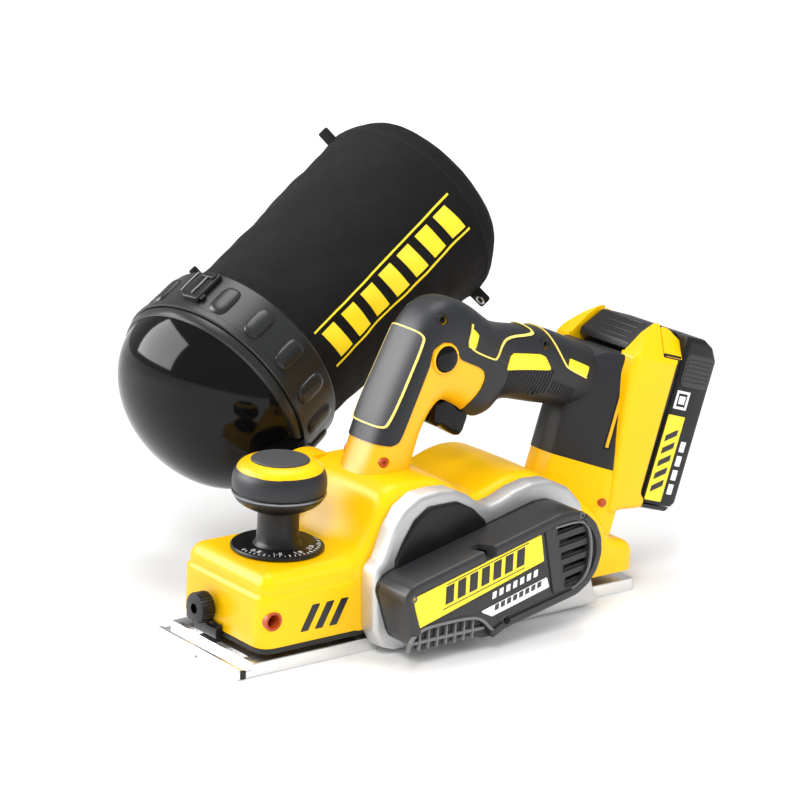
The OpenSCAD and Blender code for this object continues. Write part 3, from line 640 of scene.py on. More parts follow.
TRIGGER_GAP = [(-66, 96), (-60, 122), (-58, 136), (-52, 145), (-27, 145), (-27.5, 128), (-30.5, 112), (-34,
    100)]
lock_hole = rod_y(LOCK[0], LOCK[2], 7.9, -30, 30)
screw_holes = [rod_y(x, z, 3.2, *sorted((s * 12.5, s * 40)), 28) for x, z in SCREWS for s in (-1, 1)]
DARK = [(-125, 119), (-117.6, 118.5), (-108, 113.6), (-98, 112.4), (-93.4, 114), (-91, 118), (-73.4, 156.5),
        (-70.8, 166.5), (-64, 170.2), (-57, 169), (-52.6, 162), (-50, 157.8), (-36, 151.4), (-32, 148.6),
        (-31, 144), (-33.5, 138),
        (-40.6, 128.5), (-41.2, 124.5), (-36, 112), (-20, 108), (80, 100), (90, 150), (0, 195), (-60, 205),
        (-120, 205)]
solid("handle_shell", handle(), [lock_hole, prism(TRIGGER_GAP, -9.4, 9.4, 2)] + screw_holes, handle_yellow,
      "planer", ["handle_left", "handle_right"])
solid("handle_cover", handle(0.8), [lock_hole, prism(TRIGGER_GAP, -9.4, 9.4, 2)] + screw_holes, soft_dark,
      "planer", ["grip_left", "grip_right"], common=prism(DARK, -40, 40, 5, 5))


def fitted(name, skin, outlines, finish, nodes=(), radius=1.2):
    """Raised parts of the handle's skin: the handle moved out by skin, kept only inside side outlines."""
    parts = [prism(o, -40, 40, radius, 4) for o in outlines]
    return solid(name, handle(skin), [], finish, "planer", nodes, common=join(*parts), crease=28)


PAD = [(-78.6, 178.4), (-75.0, 174.6), (-75.6, 171.4), (-94.6, 133.5), (-99.4, 124.4), (-102, 122.9), (-109,
    124.6), (-122, 128),
       (-100, 190)]
pad_line = smooth_line([(-96, 183.8), (-88, 181), (-78.8, 177.6), (-75.4, 174.6), (-75.8, 171), (-98.8,
    125.4),
                        (-101.8, 122.4), (-109, 124.4), (-118, 127.2)], 90, 2)
fitted("front_pad_skin", 1.5, [PAD], soft_grey, ["front_pad"], radius=2.5)
line_knuckle = smooth_line([(-41.8, 178), (-43.4, 173), (-46.4, 164.6), (-25.4, 154.4), (-22.6, 155.2),
                            (-18.4, 162.4),
                            (-11.6, 165.2), (9.6, 163.6), (11.4, 165.4), (7, 170)], 110, 2)
line_rear = smooth_line([(20.8, 167), (21.8, 163), (24.8, 155), (30.2, 144.6), (33, 141.4), (47.4, 133.8)],
                        70, 2)
fitted("handle_piping", 1.7, [ribbon(pad_line, 0.95), ribbon(line_knuckle, 0.95), ribbon(line_rear, 0.9)],
       piping_gold, ["grip_inlays"], radius=0)
fitted("handle_inlays", 1.45, [[(-45.8, 164.8), (-42.4, 176), (-37.6, 171), (-40.4, 163.2)],
                               [(-14.2, 146.4), (-11, 154.4), (-8, 155.6), (12.4, 152.4), (15.6, 150.6),
                                (20.2, 142)],
                               [(32.8, 142.2), (34.4, 147.4), (49.6, 140.4), (47.4, 134.2)]],
       label_yellow, ["grip_inlays"])


def slanted(x0, x1, pitch, low_line, high_line, lean, width):
    """Outlines of slanted ribs between two sloping lines given as (z at x0, z at x1)."""
    out = []
    for x in np.arange(x0, x1, pitch):
        k = (x - x0) / (x1 - x0)
        za, zb = low_line[0] + k * (low_line[1] - low_line[0]), high_line[0] + k * (high_line[1] - high_line[0])
        out.append([(x, za), (x + width, za), (x + width + lean * (zb - za), zb), (x + lean * (zb - za), zb)])
    return out


fitted("grip_ribs", 1.3, slanted(-15.5, 17, 2.15, (131, 127.6), (145.2, 142), 0.35, 1.05)
       + slanted(20, 38, 2.15, (127.4, 120.6), (135, 127), 0.35, 1.05), soft_dark, radius=0)


# ---------------------------------------------------------------- rear column, panels and dock
COLUMN = [(46, -36), (34, -36), (20, -23.4), (6.4, -10), (4.6, 0), (6.4, 10), (20, 23.4), (34, 36), (46, 36)]
COLUMN_R = [0.5, 10, 10, 8, 12, 8, 10, 10, 0.5]


def column(l0, l1, grow=0.0, top=0.0, bottom=0.0):
    """The column's plan outline carried along the pack's length, its ends rounded."""
    levels = [(i - grow, l0 + d) for i, d in reversed(fillet(bottom, bottom, 4))] if bottom else [(-grow, l0)]
    levels += [(i - grow, l1 - d) for i, d in fillet(top, top * 0.8, 8)] if top else [(-grow, l1)]
    return in_pack(loft(np.array([on_z(rounded(COLUMN, COLUMN_R, i, 6), l) for i, l in levels])))


def pack_prism(points, y0=-60, y1=60, radius=0.0, n=5):
    """A side outline in the pack's axes, carried across."""
    return in_pack(prism(points, y0, y1, radius, n))


solid("column_yellow", column(50, 92.2, 0.3), [], body_yellow, "planer", ["handle_left",
    "handle_right"])
panel_side = [(-30, 80), (38.4, 80), (40.6, 91.8), (41.4, 146.5), (38, 156.4), (28, 161.4), (17, 160), (7,
    151), (0.5, 138), (-4, 128), (-30, 122)]
panel_holes = [in_pack(rod_y(31.5, 155.2, 3.4, *sorted((k * 25, k * 60)), 32)) for k in (-1, 1)]
solid("rear_panels", column(91.6, 163.6, 0.6, 7.0, 0.5), panel_holes, soft_dark, "planer",
      ["rear_panel_left", "rear_panel_right"], common=pack_prism(panel_side, -60, 60, 9, 8))


def side_strip(n0, y0, half, l0, l1, inside, outside, sign):
    """A rounded strip on a slanted side of the column: across it lies (0.72, -0.69), out of it (-0.69,
    -0.72)."""
    v, f = block((-half, half), (inside, outside), (l0, l1), 0.3, 0.5)
    n = n0 + v[:, 0] * 0.72 - v[:, 1] * 0.69
    y = y0 - v[:, 0] * 0.69 - v[:, 1] * 0.72
    return in_pack((np.stack([n, -sign * y, v[:, 2]], 1), f if sign < 0 else [q[::-1] for q in f]))


add("panel_slots", *join(*[side_strip(28.2, -31.1, 1.0, 104.2, 138, -2, 0.9, k) for k in (-1, 1)]),
    handle_yellow, "planer",
    "yellow_plastic", ["grip_inlays"])
add("panel_slot_frames", *join(*[side_strip(28.2, -31.1, 2.2, 102.4, 140, -2, 0.55, k) for k in (-1, 1)]),
    plain_black, "planer",
    "dark_plastic", ["grip_inlays"])


def dock():
    """The yellow frame round the pack: a side outline with a sloping top, thick and rounded at its edges."""
    side = [(38, 64), (50, 69), (66.6, 72.6), (66.4, 78.6), (62.2, 82), (61.6, 166.5), (66.4, 172), (66.4,
        176.4),
            (56, 182.6), (45, 184.2), (36, 176.4), (25, 161.8), (25, 150)]
    return in_pack(slab(side, [4, 4, 3, 3, 4, 4, 3, 4, 6, 7, 8, 5, 4], -38.3, 38.3, 4.2, 7))


recess = in_pack(loft(np.array([np.stack([x, y, z], 1) for x, y, z in
                                [(np.array([70, 20, 20, 70]), np.array([-24.4, -24.4, 24.4, 24.4]),
                                  np.full(4, l))
                                 for l in (150.0, 200.0)]])))
cavity = in_pack(block((48.4, 90), (-36.4, 36.4), (72, 200), 0.4))
tower_gap = in_pack(block((33, 60), (-24.4, 24.4), (72, 160), 0.4))
shoulder_cuts = [in_pack(loft(np.array([[(n, s * y, l) for y, l in ((23.5, 186), (43, 155), (43, 210),
    (23.5, 210))] for n in (10, 100)])))
                 for s in (-1, 1)]
solid("dock_frame", dock(), [cavity, tower_gap, recess] + shoulder_cuts, body_yellow, "planer",
      ["battery_dock"],
      also=[in_pack(block((24, 49), (-24.6, 24.6), (150, 164), 1))])


# ---------------------------------------------------------------- battery pack
CASE = [(64.4, 72.6), (87.4, 72.6), (93.6, 78.8), (93.6, 170), (88, 177.6), (80, 181.3), (64.4, 181.3)]


def case():
    """The pack's case: its side outline CASE as a slab 74.8 wide with 3.6 rounded edges, in the pack's frame."""
    return in_pack(slab(CASE, [0.5, 2, 4, 5, 4, 3, 0.5], -37.4, 37.4, 3.6, 6))


case_grooves = [pack_prism([(63, z), (100, z), (100, z + 0.9), (63, z + 0.9)], -60, 60) for z in (75.6,)]
end_ribs = [in_pack(block((66 + 4.4 * i, 67.9 + 4.4 * i), (-28, 28), (178.4, 190), 0.3)) for i in range(3)]
back_ribs = [in_pack(block((91.4, 99), (-25, 25), (140 + 6 * i, 142.6 + 6 * i), 0.3)) for i in range(5)]
solid("pack_case", case(), case_grooves + end_ribs + back_ribs, plain_black, "battery",
      ["battery_case"])


def side_ribs(sign):
    """A soft side grip: a rounded plate with seven raised bands across it."""
    y = sign * 37.3
    y0, y1 = sorted((y, y + sign * 0.8))
    plate_part = in_pack(slab([(66.5, 151), (90.5, 151), (90.5, 171.5), (66.5, 171.5)], 4, y0, y1, 0.35))
    y2 = sorted((y, y + sign * 1.5))
    bands = [in_pack(slab([(67.6, 152.6 + 2.7 * i), (89.6, 152.6 + 2.7 * i), (89.6, 154.3 + 2.7 * i),
                           (67.6, 154.3 + 2.7 * i)], 0.8, *y2, 0.4, 4)) for i in range(7)]
    return join(plate_part, *bands)


add("pack_side_grips", *join(side_ribs(-1), side_ribs(1)), grip_grey, "battery", "grey_overmould",
    ["battery_grips"])


def pack_marks(points, depth, radius=0.6):
    """Flat labels on both sides of the pack."""
    return join(*[in_pack(slab(points, radius, *sorted((s * 37.2, s * (37.4 + depth))), 0.12,
                               4)) for s in (-1, 1)])


add("pack_label", *pack_marks([(65.2, 78.5), (79.4, 78.5), (79.4, 132.5), (65.2, 132.5)], 0.30, 0.8),
    label_yellow,
    "battery", "yellow_plastic", ["battery_label"])
bars = [[(67.6, a), (76.8, a + 5), (76.8, a + 9), (67.6, a + 4)] for a in (83.5, 91.5, 99.5, 107.5, 115.5)]
add("pack_label_bars", *join(*[pack_marks(b, 0.42, 0.3) for b in bars]), label_black, "battery",
    "yellow_plastic",
    ["battery_label"])
gauge = [[(82.2, 84 + 9 * i), (86.4, 84 + 9 * i), (86.4, 90.5 + 9 * i), (82.2,
    90.5 + 9 * i)] for i in range(4)]
gauge += [[(67, 136.6), (78, 136.6), (78, 138.2), (67, 138.2)], [(67, 146.4), (78, 146.4), (78, 148),
    (67, 148)],
          [(67, 138.2), (68.6, 138.2), (68.6, 146.4), (67, 146.4)], [(76.4, 138.2), (78, 138.2), (78, 146.4),
              (76.4, 146.4)],
          [(70, 139.8), (75, 139.8), (75, 144.8), (70, 144.8)]]
add("pack_gauge", *join(*[pack_marks(g, 0.42, 0.2) for g in gauge]), label_white, "battery", "yellow_plastic",
    ["battery_label"])


def inner_pack():
    """The pack's front: three rounded boxes that step inwards towards the dock, in the pack's frame."""
    return join(in_pack(block((49.2, 64.6), (-35.7, 35.7), (72.8, 168), 0.8)),
                in_pack(block((49.2, 64.6), (-23.9, 23.9), (160, 181.2), 0.8)),
                in_pack(block((37, 50), (-23.8, 23.8), (77, 170), 0.8)))


add("pack_inner", *inner_pack(), plain_black, "battery", "black_plastic", ["battery_cover"])
shoulder = [in_pack(slab([(49.4, 166), (65.6, 166), (66.2, 171), (66.2, 176), (56, 182), (49.4, 183)], 2.5,
                         *sorted((s * 24.6, s * 36.2)), 1.2)) for s in (-1, 1)]
solid("pack_shoulders", join(*shoulder), shoulder_cuts, body_yellow, "battery",
      ["battery_cover"])


def latch():
    """The release button: a sloping ribbed top between the dock's cheeks."""
    body = in_pack(slab([(38, 160.5), (48.4, 160.5), (48.4, 182.6), (44, 181.6), (31, 168.4), (31, 164)],
                        1.2, -22.5, 22.5, 1.0))
    ribs = [in_pack(block((33.2 + 3.4 * i, 34.8 + 3.4 * i), (-16, 16), (164, 171.3 + 3.5 * i),
                          0.5)) for i in range(4)]
    return join(body, *ribs)


add("latch_button", *latch(), plain_black, "latch", "black_plastic", ["battery_latch"])


# ---------------------------------------------------------------- belt side
def arc(cx, cz, r, a0, a1, n):
    """Points round part of a circle, from angle a0 to a1 in degrees."""
    a = np.radians(np.linspace(a0, a1, n))
    return list(zip(cx + r * np.cos(a), cz + r * np.sin(a)))


COVER = arc(-122, 42, 11, 180, 100, 4) + arc(-14, 50, 27.5, 102, -70, 9) + [(-58, 13.5), (-66, 9.5), (-72,
    9.5),
                                                                         (-84, 13), (-104, 11.5)] + arc(-116,
                                                                             19.5, 9, -90, -170, 3)
COVER_R = [6] * 4 + [14] * 9 + [4, 3, 3, 5, 6] + [6] * 3
FACE_Y = COVER_Y + 1.5                    # floor of the shallow field inside the cover's rim
vent_left, vent_right = [(-24.4, 69), (-14.6, 30)], [(-4.6, 70.4), (1.4, 65.6), (4.2, 57), (4.8, 47), (3.4,
    38), (-1.6, 31.5)]


def vent(i):
    """One of five louvre slots: its ends lie on the two sides of the vent field."""
    z = 63.2 - 8.0 * i
    x0 = np.interp(-z, [-69, -30], [-24.4, -14.6]) + 2.0
    x1 = np.interp(-(z + 4), [-70.4, -65.6, -57, -47, -38, -31.5], [-4.6, 1.4, 4.2, 4.8, 3.4, -1.6]) - 0.8
    return [(x0, z), (x1, z + 2.6), (x1 - 0.2, z + 7.0), (x0 + 0.2, z + 4.6)]


vent_field = vent_left[:1] + vent_right + vent_left[1:]
low_window = [(-129.2, 12), (-127, 19), (-121, 23.6), (-112, 24.6), (-84, 24.6), (-76, 21.5), (-69.5, 14.6),
              (-66, 9), (-68, 4), (-129, 4)]
field = rounded(COVER, COVER_R, 5.4, 5)
belt_room = loft(np.array([on_y(rounded(COVER, COVER_R, 3.4, 4), y) for y in (COVER_Y + 6.5,
    COVER_BACK + 2)]))
notch = loft(np.array([[(-80.5, y, 57.5), (-72.5, y, 58.5), (-72.5, y, 76), (-80.5, y,
    76)] + np.array([[4.0 * k, 0, 0]])
                       for y, k in ((-70, 0), (-90, 1.6))]))
solid("belt_cover_shell", slab(COVER, COVER_R, COVER_Y, COVER_BACK, 2.6, 5, 0.3),
      [loft(np.array([on_y(field, COVER_Y - 2), on_y(field, FACE_Y)])), belt_room,
       slab(vent_field, 4, COVER_Y - 3, FACE_Y + 1.6, 0.2, 4)]
      + [prism(vent(i), COVER_Y - 3, COVER_Y + 8) for i in range(5)]
      + [prism(low_window, COVER_Y - 3, FACE_Y + 3.4, 2.5), notch, rod_y(-58, 19, 2.4, COVER_Y - 2,
          FACE_Y + 2.4)]
      + [rod_y(x, z, 2.4, COVER_Y - 2, COVER_Y + 1.0) for x, z in ((-126.4, 44), (-4.4, 73.2))],
      cover_grey, "planer", ["belt_cover"], crease=28)


def frame_line(points, width, y0, y1, edge=0.4):
    """A raised band of that width along a side line, rounded over its edges."""
    return slab(ribbon(points, width), 0.3, y0, y1, edge, 3, 0.05)


window_arch = smooth_line([(-129.4, 12), (-127.2, 19), (-121, 24.4), (-112, 25.6), (-84, 25.6), (-75.4,
    22.4), (-68.6, 15.2),
                           (-64.8, 12.2)], 60, 2)
vent_rim = smooth_line([vent_left[0]] + vent_right + [(-9, 28.6)], 60, 2)
add("cover_window_lip", *frame_line(window_arch, 1.7, COVER_Y + 0.2, FACE_Y + 1, 0.5), window_grey, "planer",
    "dark_plastic",
    ["belt_cover"])
add("cover_vent_lip", *frame_line(vent_rim, 1.3, COVER_Y + 0.5, FACE_Y + 0.6), window_grey, "planer",
    "dark_plastic",
    ["belt_cover"])
add("cover_divider", *slab([(-32.4, 68.6), (-26.2, 69.8), (-16, 29.6), (-23.4, 28.4)], 1.2, COVER_Y + 0.2,
                           FACE_Y + 0.4, 0.7, 4),
    cover_grey, "planer", "dark_plastic", ["belt_cover"])
add("cover_louvres", *join(*[slab([(a[0] - 1, a[1] - 1.0), (b[0] + 1, b[1] - 1.0), (b[0] + 1, b[1] + 1.2),
                                   (a[0] - 1, a[1] + 1.2)],
                                  0.5, FACE_Y + 3.2, FACE_Y + 6, 0.4, 3) for a,
                                  b in [(vent(i)[0], vent(i)[1]) for i in range(5)]]),
    cover_grey, "planer", "dark_plastic", ["belt_cover"])
window_ribs = [block((x, x + 1.2), (FACE_Y + 1.0, FACE_Y + 4.5), (11.6, 23.6), 0.3) for x in np.arange(-120,
    -78, 6.4)]
add("cover_window_ribs", *join(block((-126, -72), (FACE_Y + 1.4, FACE_Y + 4), (15.4, 17.2), 0.3),
                               *window_ribs), window_grey,
    "planer", "dark_plastic", ["belt_cover"])


def decal(points, lift, radius=0.8):
    """A thin label on the floor of the cover's field."""
    return slab(points, radius, FACE_Y - lift, FACE_Y + 0.3, 0.12, 4)


add("cover_label_field", *decal([(-126.6, 44.6), (-34.6, 66.6), (-31.4, 50), (-122.4, 25.4)], 0.35),
    label_yellow, "planer",
    "yellow_plastic", ["cover_label"])
add("cover_label_band", *decal([(-122.2, 25.0), (-31.2, 49.6), (-24.6, 30.6), (-64, 20.4), (-78, 26.6),
                                (-104, 26.8), (-120.4, 22)],
                               0.22), label_black, "planer", "yellow_plastic", ["cover_label"])
add("cover_label_strip", *decal([(-77.4, 27.4), (-28.6, 39.6), (-26.2, 33.2), (-68.6, 23.0)], 0.4),
    label_white, "planer",
    "yellow_plastic", ["cover_label"])


def label_bars(start, step, count, tall, wide, lean, lift):
    """A row of equal slanted bars that climbs with the label, used where a maker would print a word."""
    s = np.array([math.cos(0.243), math.sin(0.243)])
    up = np.array([-math.sin(0.243), math.cos(0.243)])
    out = []
    for i in range(count):
        p = np.array(start) + s * step * i
        q = p + up * tall + s * lean
        out.append(decal([p, p + s * wide, q + s * wide, q], lift, 0.3))
    return join(*out)


add("cover_label_bars", *join(label_bars((-103.5, 36.4), 8.8, 7, 10.5, 6.0, 2.6, 0.5),
                              *[decal([(x0, z0), (x1, z1), (x1, z1 + 0.6), (x0, z0 + 0.6)], 0.5, 0.1)
                                for x0, z0, x1, z1 in ((-105, 33.6, -46, 48.2), (-103, 48.2, -44, 62.8))]),
    label_black, "planer", "yellow_plastic", ["cover_label"])
add("cover_label_bars_white", *label_bars((-69, 33.4), 5.2, 7, 4.0, 3.0, 1.2, 0.36), label_white, "planer",
    "yellow_plastic",
    ["cover_label"])
add("cover_label_bars_grey", *label_bars((-67, 26.2), 4.6, 8, 3.4, 3.2, 1.0, 0.5), soft_grey, "planer",
    "yellow_plastic",
    ["cover_label"])

GUARD = [(-119, 44), (-120, 58), (-115, 68), (-107.5, 79.4), (-97.5, 86.2), (-77, 86.2), (-65, 80), (-54.5,
    70.4), (-60, 48)]
solid("guard_panel_shell", slab(GUARD, [1, 6, 10, 8, 8, 8, 8, 5, 1], low("guard_panel")[1] - 0.4,
                                FLANGE_Y + 0.6, 1.6, 6, 0.2),
      [rod_y(-99, 25, 9, -70, -40), rod_y(-14, 50, 9, -70, -40)], plain_black, "planer",
      ["guard_panel"],
      also=[slab(COVER, COVER_R, low("guard_panel")[1], FLANGE_Y + 0.6, 0.3, 4, 0.2)])


def ring_y(x, z, r0, r1, y0, y1, edge=0.6, n=48):
    """A rounded ring about an axis along Y, from inner radius r0 to r1."""
    sign = 1 if y1 > y0 else -1
    section = [(r0, y0), (r1, y0), (r1, y1 - sign * edge), (r1 - edge * 0.3, y1 - sign * edge * 0.3),
               (r1 - edge, y1),
               (r0 + edge, y1), (r0 + edge * 0.3, y1 - sign * edge * 0.3), (r0, y1 - sign * edge)]
    a = np.linspace(0, 2 * PI, n, endpoint=False)
    return torus(np.array([np.stack([x + r * np.cos(a), np.full(n, y), z + r * np.sin(a)], 1) for r,
                           y in section]))


def head_y(x, z, r, y0, y1, star=0.0, n=36):
    """A domed screw head along Y; star is the radius of a six-lobed socket sunk in it."""
    sign = 1 if y1 > y0 else -1
    a = np.linspace(0, 2 * PI, n, endpoint=False)
    lobes = 1 + 0.16 * np.cos(6 * a)
    levels = [(r, y0, 1), (r, y1 - sign * 0.5, 1), (r * 0.86, y1, 1)]
    if star:
        levels += [(star, y1 + 0 * sign, lobes), (star * 0.92, y1 - sign * 1.2, lobes)]
    return loft(np.array([np.stack([x + q * w * np.cos(a), np.full(n, y), z + q * w * np.sin(a)], 1) for q,
                          y, w in levels]))


add("cover_screw_heads", *join(*[head_y(x, z, 2.3, COVER_Y + 2.6, COVER_Y + 0.6, 1.1) for x,
                                 z in ((-126.4, 44), (-4.4, 73.2))],
                               head_y(-58, 19, 2.3, FACE_Y + 2.6, FACE_Y + 0.9, 1.1)),
    dark_steel, "planer", "steel", ["cover_screws"])
add("housing_screw_heads", *join(*[head_y(x, z, 3.0, s * 12, s * 15.2, 1.5) for x,
                                   z in SCREWS[1:] for s in (-1, 1)]), screw_black,
    "planer", "steel", ["housing_screws"])
add("red_plugs", *join(*[head_y(52.7, 58.7, 2.6, s * 30, s * 36.6) for s in (-1, 1)],
                       *[head_y(-102, 103, 3.1, s * 12, s * 17.6, 1.4) for s in (-1, 1)],
                       *[ring_y(-193.5, 30.7, 4.0, 5.7, -28, -HALF - 0.3)]), red_plug, "planer",
                       "sintered_bush", ["fence_bush"])


# ---------------------------------------------------------------- depth knob
def on_knob(shape):
    """Moves a shape turned round Z to the knob's axis."""
    return shape[0] + np.array([KNOB_X, 0, 0]), shape[1]


def knob_piece(name, profile, finish, slot, node, wave=None):
    """A turned ring of the knob: (radius, height) points turned round the knob's axis."""
    return add(name, *on_knob(lathe(profile, 96, wave)), finish, "depth_knob", slot, [node], 32)


def kinks(angle, p):
    """Three shallow dips round the ring's lower edge: the radius falls by 3 percent near each."""
    d = np.abs((angle / (2 * PI) * 3 + 0.15) % 1 - 0.5)
    near = np.clip(1 - np.abs(p[:, 1:2] - 105.2) / 2.4, 0, 1)
    return 1 + 0.018 * near * np.clip((d - 0.36) / 0.06, 0, 1)


DIAL_Z = DECK_Z + 0.3
dial_r = (high("depth_dial")[0] - low("depth_dial")[0]) / 2
knob_piece("depth_dial_plate", [(5.1, DIAL_Z), (dial_r - 0.6, DIAL_Z), (dial_r, DIAL_Z + 0.6), (dial_r,
    DIAL_Z + 1.7),
                                (dial_r - 0.7, DIAL_Z + 2.4), (15.4, DIAL_Z + 2.7), (5.1, DIAL_Z + 2.7)],
                                plain_black,
           "black_plastic", "depth_dial")
knob_piece("knob_stem", [(5, DIAL_Z + 2.7), (14.5, DIAL_Z + 2.7), (13.2, DIAL_Z + 3.8), (12.4, 62.5), (12,
    70), (12, 79), (12.6, 80.4), (15, 81.4),
                         (19, 82.8), (22, 84.5), (24.6, 86.6), (26.2, 89), (26.2, 90), (5, 90)], plain_black,
                         "black_plastic", "knob_core")
knob_piece("knob_bright_band", [(5, 90), (26.6, 90), (27.2, 90.4), (27.2, 91.4), (26.6, 91.8), (5, 91.8)],
           bright_band,
           "bright_band", "knob_band")
knob_piece("knob_soft_grip", [(5, 91.8), (26.2, 91.8), (26.8, 93), (27.1, 95), (27.2, 97), (27, 100), (26.5,
    102), (25.8, 103.6),
                              (24.6, 104.9), (22, 105.2), (5, 105.2)], soft_dark, "dark_overmould",
                              "knob_grip")
knob_piece("knob_yellow_ring", [(5, 104.6), (24.7, 104.6), (24.5, 105.6), (23.4, 107), (22.4, 107.9), (20.5,
    108.9), (18.6, 109.5), (17, 109.7),
                                (16.6, 109.2), (5, 109.2)], body_yellow, "yellow_plastic", "knob_ring", kinks)
knob_piece("knob_top_cap", [(5, 109.0), (16.6, 109.0), (16.8, 110.2), (16.2, 110.7), (12, 111), (2, 111.1)],
           soft_grey, "grey_plastic",
           "knob_cap")


def dial_mark(angle, r0, r1, width):
    """A thin bar on the dial that points away from its axis."""
    v, f = block((r0, r1), (-width / 2, width / 2), (DIAL_Z + 2.5, DIAL_Z + 2.86), 0.08, 0.1)
    c, s = math.cos(math.radians(angle)), math.sin(math.radians(angle))
    return np.stack([KNOB_X + v[:, 0] * c - v[:, 1] * s, v[:, 0] * s + v[:, 1] * c, v[:, 2]], 1), f


SEGMENTS = {"0": "abcdef", "1": "bc", "2": "abged", "5": "afgcd", ".": "p"}
STROKES = {"a": (0, 2.6, 1.4, 2.6), "b": (1.4, 1.3, 1.4, 2.6), "c": (1.4, 0, 1.4, 1.3), "d": (0, 0, 1.4, 0),
           "e": (0, 0, 0, 1.3),
           "f": (0, 1.3, 0, 2.6), "g": (0, 1.3, 1.4, 1.3), "p": (0.5, 0, 0.8, 0)}


def dial_number(text, angle, r):
    """Digits made of straight strokes, upright when seen from outside the dial."""
    out, c, s = [], math.cos(math.radians(angle)), math.sin(math.radians(angle))
    for k, ch in enumerate(text):
        for g in SEGMENTS[ch]:
            x0, y0, x1, y1 = STROKES[g]
            shift = (k - len(text) / 2) * 2.1
            v, f = block((shift + min(x0, x1) - 0.13, shift + max(x0, x1) + 0.13), (min(y0, y1) - 0.13,
                max(y0, y1) + 0.13),
                         (DIAL_Z + 2.5, DIAL_Z + 2.86), 0.05, 0.06)
            across, far = v[:, 0], r + 1.6 - v[:, 1]
            out.append((np.stack([KNOB_X + far * c - across * s, far * s + across * c, v[:, 2]], 1), f))
    return join(*out)


add("dial_marks", *join(*[dial_mark(a, 23.2 if k % 5 else 22.2, 24.8, 0.35 if k % 5 else 0.5)
                          for k, a in enumerate(np.arange(-180, 0, 7.2))],
                        *[dial_number(t, a, 19.4) for t, a in (("0.5", -162), ("1.0", -126), ("1.5", -90),
                                                               ("2.0", -54))]),
    label_white, "depth_knob", "black_plastic", ["depth_dial"])


# ---------------------------------------------------------------- trigger, lock and guide screw
add("trigger_blade", *slab([(-58, 130), (-58.6, 122), (-58.4, 117), (-56, 114.8), (-53, 115), (-47, 110.6),
                            (-42, 107.6), (-38.8, 107.2), (-36, 110),
                            (-33.4, 117), (-32.6, 124), (-33.6, 132), (-45, 134)],
                           [2, 4, 3, 2, 3, 6, 4, 2, 4, 6, 5, 2, 2], -8.2, 8.2, 2.4, 6), gloss_black,
                           "trigger_lever", "black_gloss", ["trigger"])
add("lock_off_button", *join(head_y(LOCK[0], LOCK[2], 7.4, 0, low("lock_button")[1]), head_y(LOCK[0],
    LOCK[2], 7.4, 0.01, high("lock_button")[1])),
    gloss_black, "lock", "black_gloss", ["lock_button"], crease=50)
add("lock_ring", *join(*[ring_y(LOCK[0], LOCK[2], 7.75, 9.3, s * 17, s * 20.7, 0.6) for s in (-1, 1)]),
    handle_yellow, "planer",
    "yellow_plastic", ["handle_left", "handle_right"])


def on_x(shape, x, y, z):
    """A shape turned round Z laid along X, its base at x."""
    v, f = shape
    return np.stack([x + v[:, 2], y + v[:, 0], z + v[:, 1]], 1), f


def knurl(angle, p):
    """A knurled rim: the radius goes in and out by 3 percent, 28 times round."""
    return 1 + 0.03 * np.cos(28 * angle) * (p[:, :1] > 8)


screw_at = low("fence_screw")[0]
add("guide_knob", *join(on_x(lathe([(7.2, 0), (8.4, 0.5), (8.8, 1.2), (8.8, 8.4), (8.2, 9.2), (4, 9.4)], 168,
                                   knurl), screw_at, 8, 27),
                        on_x(lathe([(3, 0), (3, 24)], 32), screw_at, 8, 27)), plain_black, "guide_screw",
                        "black_plastic", ["fence_screw"])


# ---------------------------------------------------------------- elbow, collar and bag
def round_bag(section, n=144):
    """A closed section of (radius, place along the bag) turned round the bag's axis."""
    p = np.asarray(section, float)
    a = np.linspace(0, 2 * PI, n, endpoint=False)
    r = p[:, :1] * np.ones((1, n))
    return in_bag(torus(np.stack([r * np.cos(a), r * np.sin(a), np.broadcast_to(p[:, 1:2], r.shape)], -1)))


def cup(r, h, n=18):
    """A quarter ellipse from the rim to the pole."""
    t = np.linspace(0, PI / 2, n)
    return [(max(r * math.cos(k), 0.05), -h * math.sin(k)) for k in t]


def neck(thinner=0.0, start=46.4, end=108.0):
    """A tube along Y whose centre climbs smoothly (3k^2 - 2k^3) towards the dome; its radius is 23 + k -
    thinner."""
    y = np.linspace(start, end, 26)
    k = np.clip((y - 50) / 34, 0, 1)
    k = k * k * (3 - 2 * k)
    x, z, r = -113 + 5 * k, 70 + 10 * k, 23 + k - thinner
    a = np.linspace(0, 2 * PI, 96, endpoint=False)[None]
    return loft(np.stack([x[:, None] + r[:, None] * np.cos(a), y[:, None] + 0 * a, z[:, None] + r[:,
        None] * np.sin(a)], -1))


solid("elbow_dome", in_bag(lathe([(60, 7.6), (60, 0.1)] + cup(64, 49, 26), 128)),
      [in_bag(lathe([(57, 9.0)] + cup(57, 45, 14), 64)), neck(3.2, 30, 104)],
      gloss_black, "elbow", ["bag_elbow"], crease=34, also=[neck()])
add("elbow_rim", *round_bag([(63.6, -6.4), (64.8, -5.4), (65.4, -3.4), (65.4, -0.6), (64.8, 0.2), (63.0,
    0.2)], 144), collar_black, "elbow",
    "black_gloss", ["bag_elbow"])
add("elbow_flange", *ring_y(-113, 70, 20, 25.4, 52, 47.0, 1.2, 72), gloss_black, "elbow", "black_gloss",
    ["bag_elbow"])


def collar():
    """A hollow ring with a raised front lip."""
    section = [(61.2, 0.5), (66.0, 0.4), (66.9, 1.0), (66.9, 4.6), (66.4, 5.2), (65.0, 5.6), (64.9, 20),
               (64.8, 34.6), (64.2, 35.5), (60.8, 35.5),
               (60.8, 20)]
    return round_bag(section, 160)


